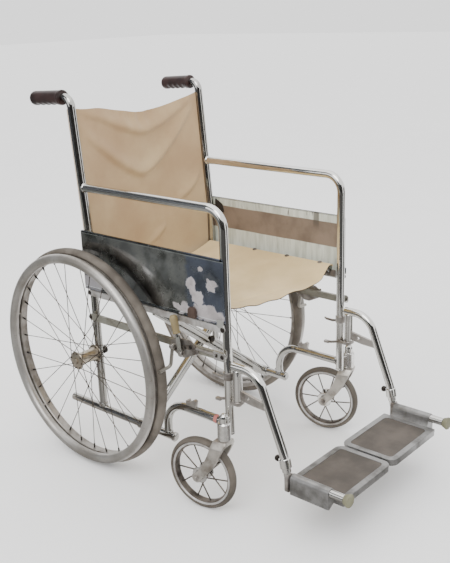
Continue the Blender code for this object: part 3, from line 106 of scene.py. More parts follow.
SIDE_X = middle_of("left_back_post").x
TUBE_R = size_of("left_back_post").x / 2
WHEEL_R = size_of("left_tyre").z / 2


def at(x, y, z):
    """A point whose y is counted from the rear axle."""
    return Vector((x, AXLE.y + y, z))


print("side frame at", round(SIDE_X, 4), "tube", round(TUBE_R, 4), "wheel", round(WHEEL_R, 4))

# %% [markdown]
# ## The camera
# A chair is best read from its front corner and from above the seat. The camera stands 2.3 m from the
# chair's middle and 0.2 m above the handles, with a slight tilt, as a hand-held camera has.

# %% Camera
CAMERA_AT = at(-1.6194, -1.7042, 1.1904)
CAMERA_TURN = math.radians(-48.278)
CAMERA_PITCH = math.radians(-17.890)
CAMERA_ROLL = math.radians(-2.051)
CAMERA_LENS, CAMERA_FILM = 67.87, 36

ahead = Vector((
    -math.sin(CAMERA_TURN) * math.cos(CAMERA_PITCH),
    math.cos(CAMERA_TURN) * math.cos(CAMERA_PITCH),
    math.sin(CAMERA_PITCH),
))
level = Vector((math.cos(CAMERA_TURN), math.sin(CAMERA_TURN), 0))
upward = level.cross(ahead)
across = level * math.cos(CAMERA_ROLL) + upward * math.sin(CAMERA_ROLL)
upright = upward * math.cos(CAMERA_ROLL) - level * math.sin(CAMERA_ROLL)
camera_data = bpy.data.cameras.new("camera")
camera_data.lens = CAMERA_LENS
camera_data.sensor_width = CAMERA_FILM
camera_data.sensor_fit = "HORIZONTAL"
camera = bpy.data.objects.new("camera", camera_data)
turned_axes = Matrix((across, upright, -ahead)).transposed().to_4x4()
camera.matrix_world = Matrix.Translation(CAMERA_AT) @ turned_axes
bpy.context.scene.collection.objects.link(camera)
bpy.context.scene.camera = camera
print("camera looks along", [round(c, 3) for c in ahead])

# %% [markdown]
# ## Shader arithmetic
# A material is a small sum of masks. Wiring nodes by hand hides that sum, so this class wraps one
# output and lets `+`, `-` and `*` add the Math nodes: `0.1 + haze * 0.3` reads as what it does.
# Colours pass through a Mix node, because a Math node would turn them grey.


# %% One wire and one shade
class Wire:
    """One output of a node, used in arithmetic."""

    def __init__(self, shade, socket):
        self.shade = shade
        self.socket = socket

    def maths(self, operation, first, second):
        return self.shade.node("ShaderNodeMath", {"operation": operation}, {0: first, 1: second})

    def __add__(self, other):
        return self.maths("ADD", self, other)

    __radd__ = __add__

    def __sub__(self, other):
        return self.maths("SUBTRACT", self, other)

    def __rsub__(self, other):
        return self.maths("SUBTRACT", other, self)

    def __mul__(self, other):
        return self.maths("MULTIPLY", self, other)

    __rmul__ = __mul__

    def between(self, low, high):
        """0 below low, 1 above high and a soft step between them."""
        settings = {"interpolation_type": "SMOOTHSTEP", "clamp": True}
        return self.shade.node("ShaderNodeMapRange", settings, {0: self, 1: low, 2: high, 3: 0.0, 4: 1.0})


class Shade:
    """One material, built around a Principled shader."""

    def __init__(self, name, **constants):
        self.material = bpy.data.materials.new(name)
        self.material.use_nodes = True
        self.tree = self.material.node_tree
        self.shader = self.tree.nodes["Principled BSDF"]
        for key, value in constants.items():
            self.shader.inputs[key.replace("_", " ").title().replace("Ior", "IOR")].default_value = value

    def node(self, kind, settings=None, inputs=None, output=0):
        """Any other node: its settings first, then the values or wires of its sockets."""
        made = self.tree.nodes.new(kind)
        for key, value in (settings or {}).items():
            setattr(made, key, value)
        for key, value in (inputs or {}).items():
            self.feed(made.inputs[key], value)
        return Wire(self, made.outputs[output])

    def feed(self, socket, value):
        if isinstance(value, Wire):
            self.tree.links.new(value.socket, socket)
        else:
            socket.default_value = value

    def place(self, stretch=(1, 1, 1), source="Object"):
        """The point being shaded, in the chair's own metres, stretched along its axes."""
        spot = self.node("ShaderNodeTexCoord", output=source)
        return self.node("ShaderNodeVectorMath", {"operation": "MULTIPLY"}, {0: spot, 1: stretch})

    def height(self, axis):
        """One coordinate of the point, as a number."""
        return self.node("ShaderNodeSeparateXYZ", None, {0: self.place()}, output=axis)

    def noise(self, scale, detail=3, stretch=(1, 1, 1), roughness=0.55):
        """Soft noise over the piece, or runs of it where the place is stretched."""
        inputs = {"Vector": self.place(stretch), "Scale": scale, "Detail": detail, "Roughness": roughness}
        return self.node("ShaderNodeTexNoise", None, inputs)

    def threads(self, scale, direction):
        """Parallel threads across the sheet's own map."""
        settings = {"wave_type": "BANDS", "bands_direction": direction}
        inputs = {"Vector": self.place(source="UV"), "Scale": scale, "Distortion": 0.6, "Detail": 1.0}
        return self.node("ShaderNodeTexWave", settings, inputs, output=1)

    def mix(self, share, first, second):
        """The first colour, with the second laid over it by share."""
        return self.node("ShaderNodeMix", {"data_type": "RGBA"}, {0: share, 6: first, 7: second}, output=2)

    def surface(self, colour, roughness, height=None, depth=0.0003, strength=0.5, metallic=None):
        """Wire up what varies over the surface."""
        self.feed(self.shader.inputs["Base Color"], colour)
        self.feed(self.shader.inputs["Roughness"], roughness)
        if metallic is not None:
            self.feed(self.shader.inputs["Metallic"], metallic)
        if height is not None:
            inputs = {"Height": height, "Distance": depth, "Strength": strength}
            self.feed(self.shader.inputs["Normal"], self.node("ShaderNodeBump", None, inputs))
        return self.material


def paint(red, green, blue):
    """A colour from the 0 to 255 values that a paint chart gives."""
    parts = [part / 255 for part in (red, green, blue)]
    linear = [p / 12.92 if p <= 0.04045 else ((p + 0.055) / 1.055) ** 2.4 for p in parts]
    return (*linear, 1.0)


print("white paint is", paint(255, 255, 255))

# %% [markdown]
# ## Metal finishes
# Chrome plate on an old chair is still a mirror, with a thin haze where hands and cloths have rubbed
# it and brown pits where damp got under the nickel. Both are noise masks: a broad one chooses the
# places and a very fine one makes the pits.


# %% Chrome
def chrome(name, wear, brightness=226):
    shade = Shade(name, metallic=1.0)
    haze = shade.noise(11, 5).between(0.42, 0.72)
    fine = shade.noise(520, 3).between(0.58, 0.70)
    spots = shade.noise(17, 4).between(0.66 - 0.22 * wear, 0.80)
    pits = fine * spots
    bright = paint(brightness, brightness - 1, brightness - 4)
    dull = paint(172, 168, 160)
    colour = shade.mix(pits, shade.mix(haze * wear, bright, dull), paint(104, 78, 56))
    roughness = 0.055 + haze * 0.20 * wear + pits * 0.40
    return shade.surface(colour, roughness, shade.noise(90, 4) - pits, 0.0004, 0.05 + 0.10 * wear)


CHROME = chrome("bright_chrome", 0.25)
CHROME_LOW = chrome("worn_chrome", 0.95, 186)
CHROME_BAR = chrome("scuffed_chrome", 0.60, 204)
print("chrome finishes", 3)


# %% Castings, steels and the painted bar
def casting(name, light, dark, roughness, metallic=0.85, grain=240):
    """Cast or turned alloy with a fine grain and darker stains."""
    shade = Shade(name, metallic=metallic)
    stains = shade.noise(22, 6).between(0.40, 0.72)
    specks = shade.noise(grain, 4)
    colour = shade.mix(stains, light, dark)
    colour = shade.mix(specks.between(0.60, 0.80) * 0.5, colour, paint(70, 62, 54))
    return shade.surface(colour, roughness + stains * 0.14, specks + stains * 0.4, 0.0006, 0.25)


FORK_ALLOY = casting("fork_alloy", paint(190, 185, 178), paint(134, 127, 118), 0.36, 0.8)
BARREL_ALLOY = casting("barrel_alloy", paint(230, 229, 227), paint(188, 184, 178), 0.12, 0.95, 60)
PLATE_ALLOY = casting("plate_alloy", paint(152, 151, 150), paint(108, 106, 103), 0.36, 0.8)
RIM_ALLOY = casting("rim_alloy", paint(164, 159, 153), paint(120, 113, 106), 0.40, 0.8)
STEEL = casting("plain_steel", paint(158, 154, 146), paint(104, 96, 86), 0.40, 0.9)
HUB_STEEL = casting("hub_steel", paint(196, 186, 170), paint(130, 116, 98), 0.30, 0.95)
DARK_STEEL = casting("dark_steel", paint(58, 53, 48), paint(34, 30, 27), 0.46, 0.7)
WIRE_STEEL = casting("wire_steel", paint(104, 97, 90), paint(66, 59, 53), 0.38, 0.9)
BAR_PAINT = casting("bar_paint", paint(134, 132, 122), paint(98, 92, 80), 0.46, 0.45)
FLAT_STEEL = casting("flat_steel", paint(200, 198, 196), paint(142, 136, 130), 0.36, 0.6)
RUSTY_STEEL = casting("rusty_steel", paint(116, 108, 100), paint(48, 41, 36), 0.50, 0.6, 90)
STRAP_STEEL = casting("strap_steel", paint(180, 175, 170), paint(108, 100, 94), 0.30, 0.85)
print("castings and steels", 12)

# %% [markdown]
# ## Brushed handrim
# The push ring is wide satin metal. Years of palms polish it along its length, so the scratches run
# round the ring. Noise that is sampled on the distance from the axle alone is the same all the way
# round, which gives exactly those streaks.


# %% Handrim and skirt metal
def satin_ring(name):
    shade = Shade(name, metallic=0.80)
    axle = shade.node("ShaderNodeVectorMath", {"operation": "SUBTRACT"}, {0: shade.place(), 1: tuple(AXLE)})
    flat = shade.node("ShaderNodeVectorMath", {"operation": "MULTIPLY"}, {0: axle, 1: (0, 1, 1)})
    radius = shade.node("ShaderNodeVectorMath", {"operation": "LENGTH"}, {0: flat}, output=1)
    streaks = shade.node("ShaderNodeTexNoise", {"noise_dimensions": "1D"},
                         {"W": radius, "Scale": 2600.0, "Detail": 2.0})
    patches = shade.noise(7, 4).between(0.38, 0.70)
    dirt = shade.noise(130, 5).between(0.58, 0.74) * 0.45
    colour = shade.mix(patches, paint(184, 181, 177), paint(150, 145, 138))
    colour = shade.mix(dirt, colour, paint(118, 108, 96))
    roughness = 0.31 + streaks * 0.08 + patches * 0.10
    return shade.surface(colour, roughness, streaks + patches * 0.5, 0.0002, 0.20)


def mirror_sheet(name):
    """Chromed sheet that was never quite flat. Its plate has worn through in patches towards the front. Its
    colour also carries a dark bluish painted reflection towards the front, and a painted shade band and
    painted highlight line along each rolled hem.
    """
    shade = Shade(name)
    y, z = shade.height(1), shade.height(2)
    waves = shade.noise(5.5, 2)
    haze = shade.noise(13, 6).between(0.40, 0.66)
    specks = shade.noise(260, 3).between(0.60, 0.72) * 0.6
    wander_y = (shade.noise(38, 3) - 0.5) * 0.036
    wander_z = (shade.noise(43, 3) - 0.5) * 0.036
    # The front part of the sheet, where a dark bluish painted reflection is laid on.
    painted_reflection_front = 1 - (y + wander_y).between(AXLE.y - 0.366, AXLE.y - 0.350)
    patches = 0
    for spot_y, spot_z, wide, high in WORN_SPOTS:
        off_y = (y + wander_y - (AXLE.y + spot_y)) * (1 / wide)
        off_z = (z + wander_z - spot_z) * (1 / high)
        patches = patches + (1 - (off_y * off_y + off_z * off_z).between(0.60, 1.20))
    patches = patches.between(0, 1)
    corner = y.between(AXLE.y - 0.052, AXLE.y - 0.046) * (1 - z.between(CORNER_Z, CORNER_Z + 0.004))
    clouds = shade.noise(24, 5).between(0.44, 0.62)
    colour = shade.mix(haze, paint(152, 154, 156), paint(96, 98, 95))
    colour = shade.mix(clouds * 0.5, colour, paint(178, 180, 178))
    # A dark bluish painted reflection over the front part, weaker where the haze is.
    colour = shade.mix(painted_reflection_front * (0.70 - haze * 0.35), colour, paint(106, 117, 148))
    colour = shade.mix(patches, colour, shade.mix(clouds * 0.5, paint(172, 166, 167), paint(128, 121, 120)))
    colour = shade.mix(corner, colour, paint(150, 147, 150))
    colour = shade.mix(specks, colour, paint(84, 76, 66))
    # Along each rolled hem: a dark band of painted shade at the edge, and just inside it a thin painted
    # highlight line where the hem's crease would catch the light.
    for edge_z, way in ((SKIRT_TOP_Z, -1), (SKIRT_LOW_Z, 1)):
        from_edge = (z - edge_z) * way
        colour = shade.mix((1 - from_edge.between(0.0045, 0.0060)) * 0.6, colour, paint(70, 76, 80))
        line = from_edge.between(0.0060, 0.0070) * (1 - from_edge.between(0.0078, 0.0090))
        colour = shade.mix(line * 0.8, colour, paint(206, 212, 214))
    roughness = 0.10 + haze * 0.18 + clouds * 0.10 + patches * 0.20 + corner * 0.25
    metallic = 1 - patches * 0.70 - corner * 0.75
    return shade.surface(colour, roughness, waves + specks * 0.05, 0.004, 0.30, metallic)


SKIRT_LOW_Z, SKIRT_TOP_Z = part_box("left_skirt_guard")[0].z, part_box("left_skirt_guard")[1].z
WORN_SPOTS = (
    (-0.375, 0.571, 0.018, 0.024), (-0.440, 0.580, 0.019, 0.018), (-0.409, 0.616, 0.010, 0.007),
    (-0.350, 0.506, 0.036, 0.014), (-0.424, 0.507, 0.052, 0.021), (-0.395, 0.541, 0.020, 0.018),
)
CORNER_Z = 0.522
HANDRIM_METAL = satin_ring("handrim_satin")
SKIRT_METAL = mirror_sheet("skirt_mirror")
print("sheet and ring metals", 2)

# %% [markdown]
# ## The skirts' inner faces
# Inside, the skirt is a pale painted sheet that a sitter's clothes have rubbed brown in a level band,
# with dark runs down from its top edge. The band is a mask on the height, and a run is noise that is
# stretched ten times along Z.


# %% Skirt lining
BAND_TOP_Z = SKIRT_TOP_Z - 0.024
BAND_LOW_Z = SKIRT_TOP_Z - 0.091
STAIN_Y = -0.382


def rubbed_lining(name):
    shade = Shade(name)
    y, z = shade.height(1), shade.height(2)
    wander = (shade.noise(9, 3) - 0.5) * 0.004
    band = (z + wander).between(BAND_LOW_Z - 0.0008, BAND_LOW_Z + 0.0008)
    band = band * (1 - (z + wander).between(BAND_TOP_Z - 0.0008, BAND_TOP_Z + 0.0008))
    runs = shade.noise(135, 3, (1, 1, 0.10)).between(0.56, 0.66)
    runs = runs * shade.noise(40, 2, (1, 1, 0.5)).between(0.46, 0.58)
    stain_at = AXLE.y + STAIN_Y
    stain = (y + wander * 2).between(stain_at - 0.013, stain_at - 0.009)
    stain = stain * (1 - (y + wander * 2).between(stain_at + 0.005, stain_at + 0.010))
    stain = stain * z.between(BAND_TOP_Z - 0.03, BAND_TOP_Z)
    streaks = shade.noise(70, 4, (1, 1, 0.12)).between(0.35, 0.7)
    pale = shade.mix(streaks, paint(204, 208, 198), paint(174, 178, 166))
    above = z.between(BAND_TOP_Z - 0.001, BAND_TOP_Z + 0.001)
    pale = shade.mix(runs * (0.2 + above * 0.75), pale, paint(70, 64, 56))
    brown = shade.mix(shade.noise(14, 5).between(0.35, 0.7), paint(126, 111, 98), paint(102, 89, 79))
    colour = shade.mix(band, pale, brown)
    colour = shade.mix(stain * 0.75, colour, paint(74, 68, 62))
    return shade.surface(colour, 0.52 - band * 0.06, shade.noise(300, 3), 0.0003, 0.15)


LINING = rubbed_lining("skirt_lining")
print("band from", round(BAND_LOW_Z, 3), "to", round(BAND_TOP_Z, 3))

# %% [markdown]
# ## Rubber, vinyl and canvas
# These finishes have no mirror in them, so their looks come from colour and a fine bump. The canvas
# is a plain weave: two wave textures cross at right angles on the sheet's own UV map, which is laid
# out in real metres so that the threads keep their pitch where the sheet is bent.


# %% Rubbers and grips
def rubber(name, light, dark, roughness, grain=320):
    shade = Shade(name)
    dust = shade.noise(12, 6).between(0.35, 0.72)
    specks = shade.noise(grain, 4)
    colour = shade.mix(dust, dark, light)
    colour = shade.mix(specks.between(0.62, 0.78) * 0.35, colour, paint(60, 52, 44))
    return shade.surface(colour, roughness + dust * 0.08, specks, 0.0004, 0.30)


TYRE_RUBBER = rubber("tyre_rubber", paint(112, 105, 96), paint(76, 69, 61), 0.74)
CASTER_RUBBER = rubber("caster_rubber", paint(100, 93, 84), paint(70, 63, 55), 0.72)
GRIP_VINYL = rubber("grip_vinyl", paint(58, 38, 36), paint(32, 22, 22), 0.38)
OLIVE_RUBBER = rubber("olive_rubber", paint(166, 154, 118), paint(118, 104, 72), 0.52)
CAP_RUBBER = rubber("cap_rubber", paint(134, 132, 108), paint(104, 102, 80), 0.56)
MAT_RUBBER = rubber("mat_rubber", paint(92, 84, 77), paint(66, 60, 54), 0.66, 700)
TAPE_RED = rubber("tape_red", paint(158, 58, 52), paint(168, 104, 96), 0.45)
BLACK_RUBBER = rubber("black_rubber", paint(46, 40, 36), paint(26, 23, 21), 0.60)
BROWN_STOP = rubber("brown_stop", paint(96, 74, 62), paint(60, 45, 38), 0.50)
# Dark brown for the back's edge cords and the seat's edge faces, which also stand as painted shade lines.
CORD_AND_SHADE_LINE = rubber("cord_and_shade_line", paint(84, 64, 46), paint(50, 38, 28), 0.80)
print("rubbers", 10)


# %% Canvas
THREAD_PITCH = 0.0011


def canvas(name, light, dark, stain):
    shade = Shade(name, sheen_weight=0.15, sheen_roughness=0.6)
    turns = 1 / (THREAD_PITCH * 3.2)
    warp = shade.threads(turns, "X")
    weft = shade.threads(turns, "Y")
    weave = warp * 0.5 + weft * 0.5
    broad = shade.noise(5, 5).between(0.30, 0.72)
    blots = shade.noise(2.6, 6, roughness=0.65).between(0.52, 0.72)
    colour = shade.mix(broad, light, dark)
    colour = shade.mix(blots * 0.35, colour, stain)
    colour = shade.mix((1 - weave) * 0.14, colour, dark)
    wrinkle = shade.noise(26, 4)
    return shade.surface(colour, 0.86 + broad * 0.06, weave * 0.25 + wrinkle, 0.0016, 0.35)


BACK_CANVAS = canvas("back_canvas", paint(184, 160, 122), paint(162, 133, 98), paint(142, 110, 80))
SEAT_CANVAS = canvas("seat_canvas", paint(216, 192, 144), paint(190, 164, 116), paint(164, 134, 96))
HEM_CANVAS = canvas("hem_canvas", paint(190, 164, 132), paint(166, 138, 106), paint(140, 112, 84))
print("threads every", THREAD_PITCH * 1000, "mm")

# %% [markdown]
# ## Shapes from rules
# Three shapes make nearly all of the chair: a tube swept along a bent line, a turned piece and a flat
# plate. Each function returns points and faces, and `piece` joins any number of them into one mesh in
# the chair's own metres. Writing them as rules keeps the bends true arcs.


# %% Bent lines
def arc(before, corner, after, radius, step=math.radians(6)):
    """The true arc that rounds one corner of a line."""
    into = (corner - before).normalized()
    out = (after - corner).normalized()
    turn = into.angle(out)
    if radius == 0 or turn < 0.001:
        return [corner]
    start = corner - into * radius * math.tan(turn / 2)
    centre = start + (out - into * into.dot(out)).normalized() * radius
    axis = into.cross(out)
    count = max(2, math.ceil(turn / step))
    return [centre + Matrix.Rotation(turn * i / count, 3, axis) @ (start - centre) for i in range(count + 1)]


def bent(*stations):
    """A line through (x, y, z[, bend radius]) stations."""
    places = [at(*station[:3]) for station in stations]
    line = [places[0]]
    for i in range(1, len(stations) - 1):
        radius = stations[i][3] if len(stations[i]) > 3 else 0
        line += arc(places[i - 1], places[i], places[i + 1], radius)
    return line + [places[-1]]


def rounded(*corners, step=math.radians(12)):
    """A closed flat outline of (a, b, corner radius) points."""
    flat = [Vector((a, b, 0)) for a, b, _ in corners]
    line = []
    for i, (_, _, radius) in enumerate(corners):
        line += arc(flat[i - 1], flat[i], flat[(i + 1) % len(flat)], radius, step)
    return [(p.x, p.y) for p in line]


def oblong(a, b, c, d, radius):
    """A four-sided outline between the corners (a, b) and (c, d)."""
    return rounded((a, b, radius), (a, d, radius), (c, d, radius), (c, b, radius))


def ring(a, b, radius, sides=28):
    turns = (2 * math.pi * i / sides for i in range(sides))
    return [(a + radius * math.cos(t), b + radius * math.sin(t)) for t in turns]


# %% Swept, turned and flat shapes
def swept(line, radius, sides=24):
    """A round bar along a line, its end faces square to it. The radius may change from point to point."""
    radii = radius if isinstance(radius, list) else [radius] * len(line)
    points, faces = [], []
    run = (line[1] - line[0]).normalized()
    side = run.orthogonal().normalized()
    for i, spot in enumerate(line):
        before, after = line[max(i - 1, 0)], line[min(i + 1, len(line) - 1)]
        new_run = (after - before).normalized()
        side = (side - new_run * side.dot(new_run)).normalized()
        lift = new_run.cross(side)
        for k in range(sides):
            turn = 2 * math.pi * k / sides
            points.append(spot + (side * math.cos(turn) + lift * math.sin(turn)) * radii[i])
    for i in range(len(line) - 1):
        for k in range(sides):
            a, b = i * sides + k, i * sides + (k + 1) % sides
            faces.append((a, b, b + sides, a + sides))
    last = (len(line) - 1) * sides
    faces.append(tuple(range(sides))[::-1])
    faces.append(tuple(range(last, last + sides)))
    return points, faces


def turned(outline, place, direction, steps=48):
    """Turn (radius, height) points about a direction: a closed ring, or one that starts and ends on it."""
    spin = Matrix.Translation(place) @ Vector(direction).to_track_quat("Z", "Y").to_matrix().to_4x4()
    points, rows, faces = [], [], []
    for radius, height in outline:
        count = 1 if radius == 0 else steps
        rows.append((len(points), count))
        for k in range(count):
            turn = 2 * math.pi * k / steps
            points.append(spin @ Vector((radius * math.cos(turn), radius * math.sin(turn), height)))
    open_ends = outline[0][0] == 0 and outline[-1][0] == 0
    pairs = list(zip(rows, rows[1:])) + ([] if open_ends else [(rows[-1], rows[0])])
    for (a, count_a), (b, count_b) in pairs:
        for k in range(steps):
            n = (k + 1) % steps
            if count_a == 1 and count_b == 1:
                continue
            if count_a == 1:
                faces.append((a, b + n, b + k))
            elif count_b == 1:
                faces.append((a + k, a + n, b))
            else:
                faces.append((a + k, a + n, b + n, b + k))
    return points, faces


def soft(outline, radius, closed=False):
    """Round every corner of a (radius, height) outline a little."""
    flat = [Vector((a, b, 0)) for a, b in outline]
    line = [] if closed else [flat[0]]
    stations = range(len(flat)) if closed else range(1, len(flat) - 1)
    for i in stations:
        before, corner, after = flat[i - 1], flat[i], flat[(i + 1) % len(flat)]
        reach = min((corner - before).length, (after - corner).length) * 0.45
        turn = (corner - before).angle(after - corner, 0)
        fit = reach / max(math.tan(turn / 2), 0.001)
        line += arc(before, corner, after, min(radius, fit), math.radians(22))
    line += [] if closed else [flat[-1]]
    return [(p.x, p.y) for p in line]


def bar(place, direction, radius, low, high, steps=32, ease=0.0006):
    """A plain turned bar with eased ends."""
    outline = [(0, low), (radius, low), (radius, high), (0, high)]
    return turned(soft(outline, ease), place, direction, steps)


def plate(outlines, thick, view):
    """Flat outlines, the first solid and the others holes, centred on their plane."""
    flat = [[Vector((a, b, 0)) for a, b in outline] for outline in outlines]
    corners = [spot for outline in flat for spot in outline]
    count = len(corners)
    points = [view @ (spot + Vector((0, 0, lift * thick / 2))) for lift in (-1, 1) for spot in corners]
    faces = []
    for a, b, c in tessellate_polygon(flat):
        faces.append((a, b, c))
        faces.append((c + count, b + count, a + count))
    start = 0
    for outline in flat:
        for k in range(len(outline)):
            a, b = start + k, start + (k + 1) % len(outline)
            faces.append((a, b, b + count, a + count))
        start += len(outline)
    return points, faces


def side_view(x):
    """A plane whose flat outlines are (y, z)."""
    return Matrix(((0, 0, 1, x), (1, 0, 0, AXLE.y), (0, 1, 0, 0), (0, 0, 0, 1)))


def front_view(y):
    """A plane whose flat outlines are (x, z)."""
    return Matrix(((1, 0, 0, 0), (0, 0, -1, AXLE.y + y), (0, 1, 0, 0), (0, 0, 0, 1)))


def top_view(z):
    """A plane whose flat outlines are (x, y)."""
    return Matrix(((1, 0, 0, 0), (0, 1, 0, AXLE.y), (0, 0, 1, z), (0, 0, 0, 1)))


# %% Joining shapes into a piece
MADE = []


def piece(name, body, finish, *shapes, node=None, slot=None, ease=0.0, sharp=38):
    """Join shapes into one mesh that rides on a body, with its edges eased if asked."""
    mesh = bpy.data.meshes.new(name)
    work = bmesh.new()
    for points, faces in shapes:
        knots = [work.verts.new(point) for point in points]
        for face in faces:
            work.faces.new([knots[i] for i in face])
    bmesh.ops.recalc_face_normals(work, faces=work.faces)
    work.to_mesh(mesh)
    work.free()
    made = bpy.data.objects.new(name, mesh)
    bpy.context.scene.collection.objects.link(made)
    mesh.materials.append(finish)
    mesh.shade_smooth()
    mesh.set_sharp_from_angle(angle=math.radians(sharp))
    if ease:
        edge = made.modifiers.new("eased_edges", "BEVEL")
        edge.width = ease
        edge.segments = 2
        edge.limit_method = "ANGLE"
        edge.angle_limit = math.radians(50)
    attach(made, body)
    if node:
        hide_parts(node)
    MADE.append(name)
    return made


def frame_body(label):
    return "frame_" + label


def side_piece(label, name, body, finish, slot, *shapes, solid=None, **look):
    """A piece of one side. It takes the place of the solid of its name, of another, or with "" of none."""
    node = None if solid == "" else label + "_" + (solid or name)
    return piece(label + "_" + name, body, finish, *shapes, node=node, slot=slot, **look)


def frame_piece(label, name, finish, slot, *shapes, **look):
    """A piece that rides with one side frame."""
    return side_piece(label, name, frame_body(label), finish, slot, *shapes, **look)


print("shape tools ready")

# %% [markdown]
# ## Back posts and push handles
# One 22 mm tube runs from the lower rail up past the arm, leans back and bends into the handle. The
# moulded grip slides over its end: a plain sleeve would look like a pipe, so its radius is worked out
# round the section and along the length, with hollows for four fingers on the under side only.

# %% Back posts
HANDLE_Z = 0.988
HANDLE_ENDS_Y = {-1: 0.181, 1: 0.169}
HANDLE_DROP = 0.008
HANDLE_BEND = 0.0255
LEAN_Z, LEAN_Y = 0.62, 0.031
BEAD_HIGH = 0.0022
LOWER_Z = 0.131
ARM_Z = 0.759
FRONT_Y = -0.472


def handle_line(side):
    x = side * SIDE_X
    start, end = at(x, LEAN_Y, HANDLE_Z), at(x, HANDLE_ENDS_Y[side], HANDLE_Z - HANDLE_DROP)
    return start, end, (end - start).normalized()


def post_line(side):
    x = side * SIDE_X
    _, end, run = handle_line(side)
    tip = end - run * 0.004
    return bent(
        (x, 0, LOWER_Z + TUBE_R * 0.75),
        (x, 0, LEAN_Z, 0.30),
        (x, LEAN_Y, HANDLE_Z, HANDLE_BEND),
        (x, tip.y - AXLE.y, tip.z),
    )


def post_y(z):
    """How far behind the axle the post stands at a height."""
    return LEAN_Y * max(0.0, z - LEAN_Z) / (HANDLE_Z - LEAN_Z)


for label, side in SIDES.items():
    outline = [(0, 0.010), (TUBE_R + 0.0012, 0.010), (TUBE_R + BEAD_HIGH, -0.001), (0, -0.001)]
    saddle = turned(soft(outline, 0.001), at(side * SIDE_X, 0, LOWER_Z + TUBE_R * 0.9), (0, 0, 1))
    frame_piece(label, "back_post", CHROME_LOW, "chrome_tube", swept(post_line(side), TUBE_R), saddle)
print("posts reach", HANDLE_Z + TUBE_R)

# %% Hand grips
GRIP_LENGTHS, GRIP_R = {-1: 0.122, 1: 0.111}, 0.0186
GRIP_TWIST = {-1: math.radians(28), 1: math.radians(4)}
GRIP_STEPS, GRIP_ROWS = 48, 84
FINGERS = 4


def grip_radius(along, turn, length):
    """The grip's radius: along from 0 at its closed end, turn from 0 where the fingers lie."""
    end_round = min(1.0, along / 0.012)
    radius = GRIP_R * (0.50 + 0.50 * math.sqrt(1 - (1 - end_round) ** 2))
    collar = math.exp(-((length - 0.005 - along) / 0.0045) ** 2)
    radius *= 1 + 0.05 * collar
    first, last = 0.018, length - 0.014
    if first < along < last:
        wave = math.sin(math.pi * FINGERS * (along - first) / (last - first)) ** 2
        below = max(0.0, math.cos(turn)) ** 1.2
        radius -= 0.0048 * wave * below
    return radius


def moulded_grip(side):
    _, rear, run = handle_line(side)
    down = Vector((0, run.z, -run.y)).normalized()
    out = run.cross(down)
    points, faces = [rear], []
    for j in range(GRIP_ROWS + 1):
        along = GRIP_LENGTHS[side] * (j / GRIP_ROWS) ** 1.15
        for k in range(GRIP_STEPS):
            turn = 2 * math.pi * k / GRIP_STEPS
            radius = grip_radius(along, turn - side * GRIP_TWIST[side], GRIP_LENGTHS[side])
            points.append(rear - run * along + (down * math.cos(turn) + out * math.sin(turn)) * radius)
    for k in range(GRIP_STEPS):
        faces.append((0, 1 + (k + 1) % GRIP_STEPS, 1 + k))
    for j in range(GRIP_ROWS):
        for k in range(GRIP_STEPS):
            a, b = 1 + j * GRIP_STEPS + k, 1 + j * GRIP_STEPS + (k + 1) % GRIP_STEPS
            faces.append((a, b, b + GRIP_STEPS, a + GRIP_STEPS))
    last = 1 + GRIP_ROWS * GRIP_STEPS
    faces.append(tuple(range(last, last + GRIP_STEPS)))
    return points, faces


for label, side in SIDES.items():
    frame_piece(label, "hand_grip", GRIP_VINYL, "grip_vinyl", moulded_grip(side), sharp=60)
print("grips", len(SIDES))

# %% [markdown]
# ## Arms, front posts and side rails
# The arm is the same tube again, bent down into the front post. A weld bead closes each joint: a
# ring that swells where one tube meets the other hides the hard line that two crossed cylinders make.

# %% Arms and front posts
ARM_BEND = 0.045
FRONT_FOOT_Z = 0.205
SWING_Y = FRONT_Y - 0.028
HANGER_Z = 0.385
SLEEVE_LOW_Z = 0.2925
CLIP_Z = HANGER_Z - 0.022
FINGER_Z = CLIP_Z - 0.012
LUG_Z, LUG_HALF = SLEEVE_LOW_Z - 0.003, 0.008


def weld_bead(place, direction, radius):
    outline = [(0, 0.004), (radius, 0.0035), (radius + BEAD_HIGH, -0.0015), (0, -0.004)]
    return turned(soft(outline, 0.0012), place, direction)


def arm_line(side):
    x = side * SIDE_X
    return bent((x, post_y(ARM_Z), ARM_Z), (x, FRONT_Y, ARM_Z, ARM_BEND), (x, FRONT_Y, FRONT_FOOT_Z))


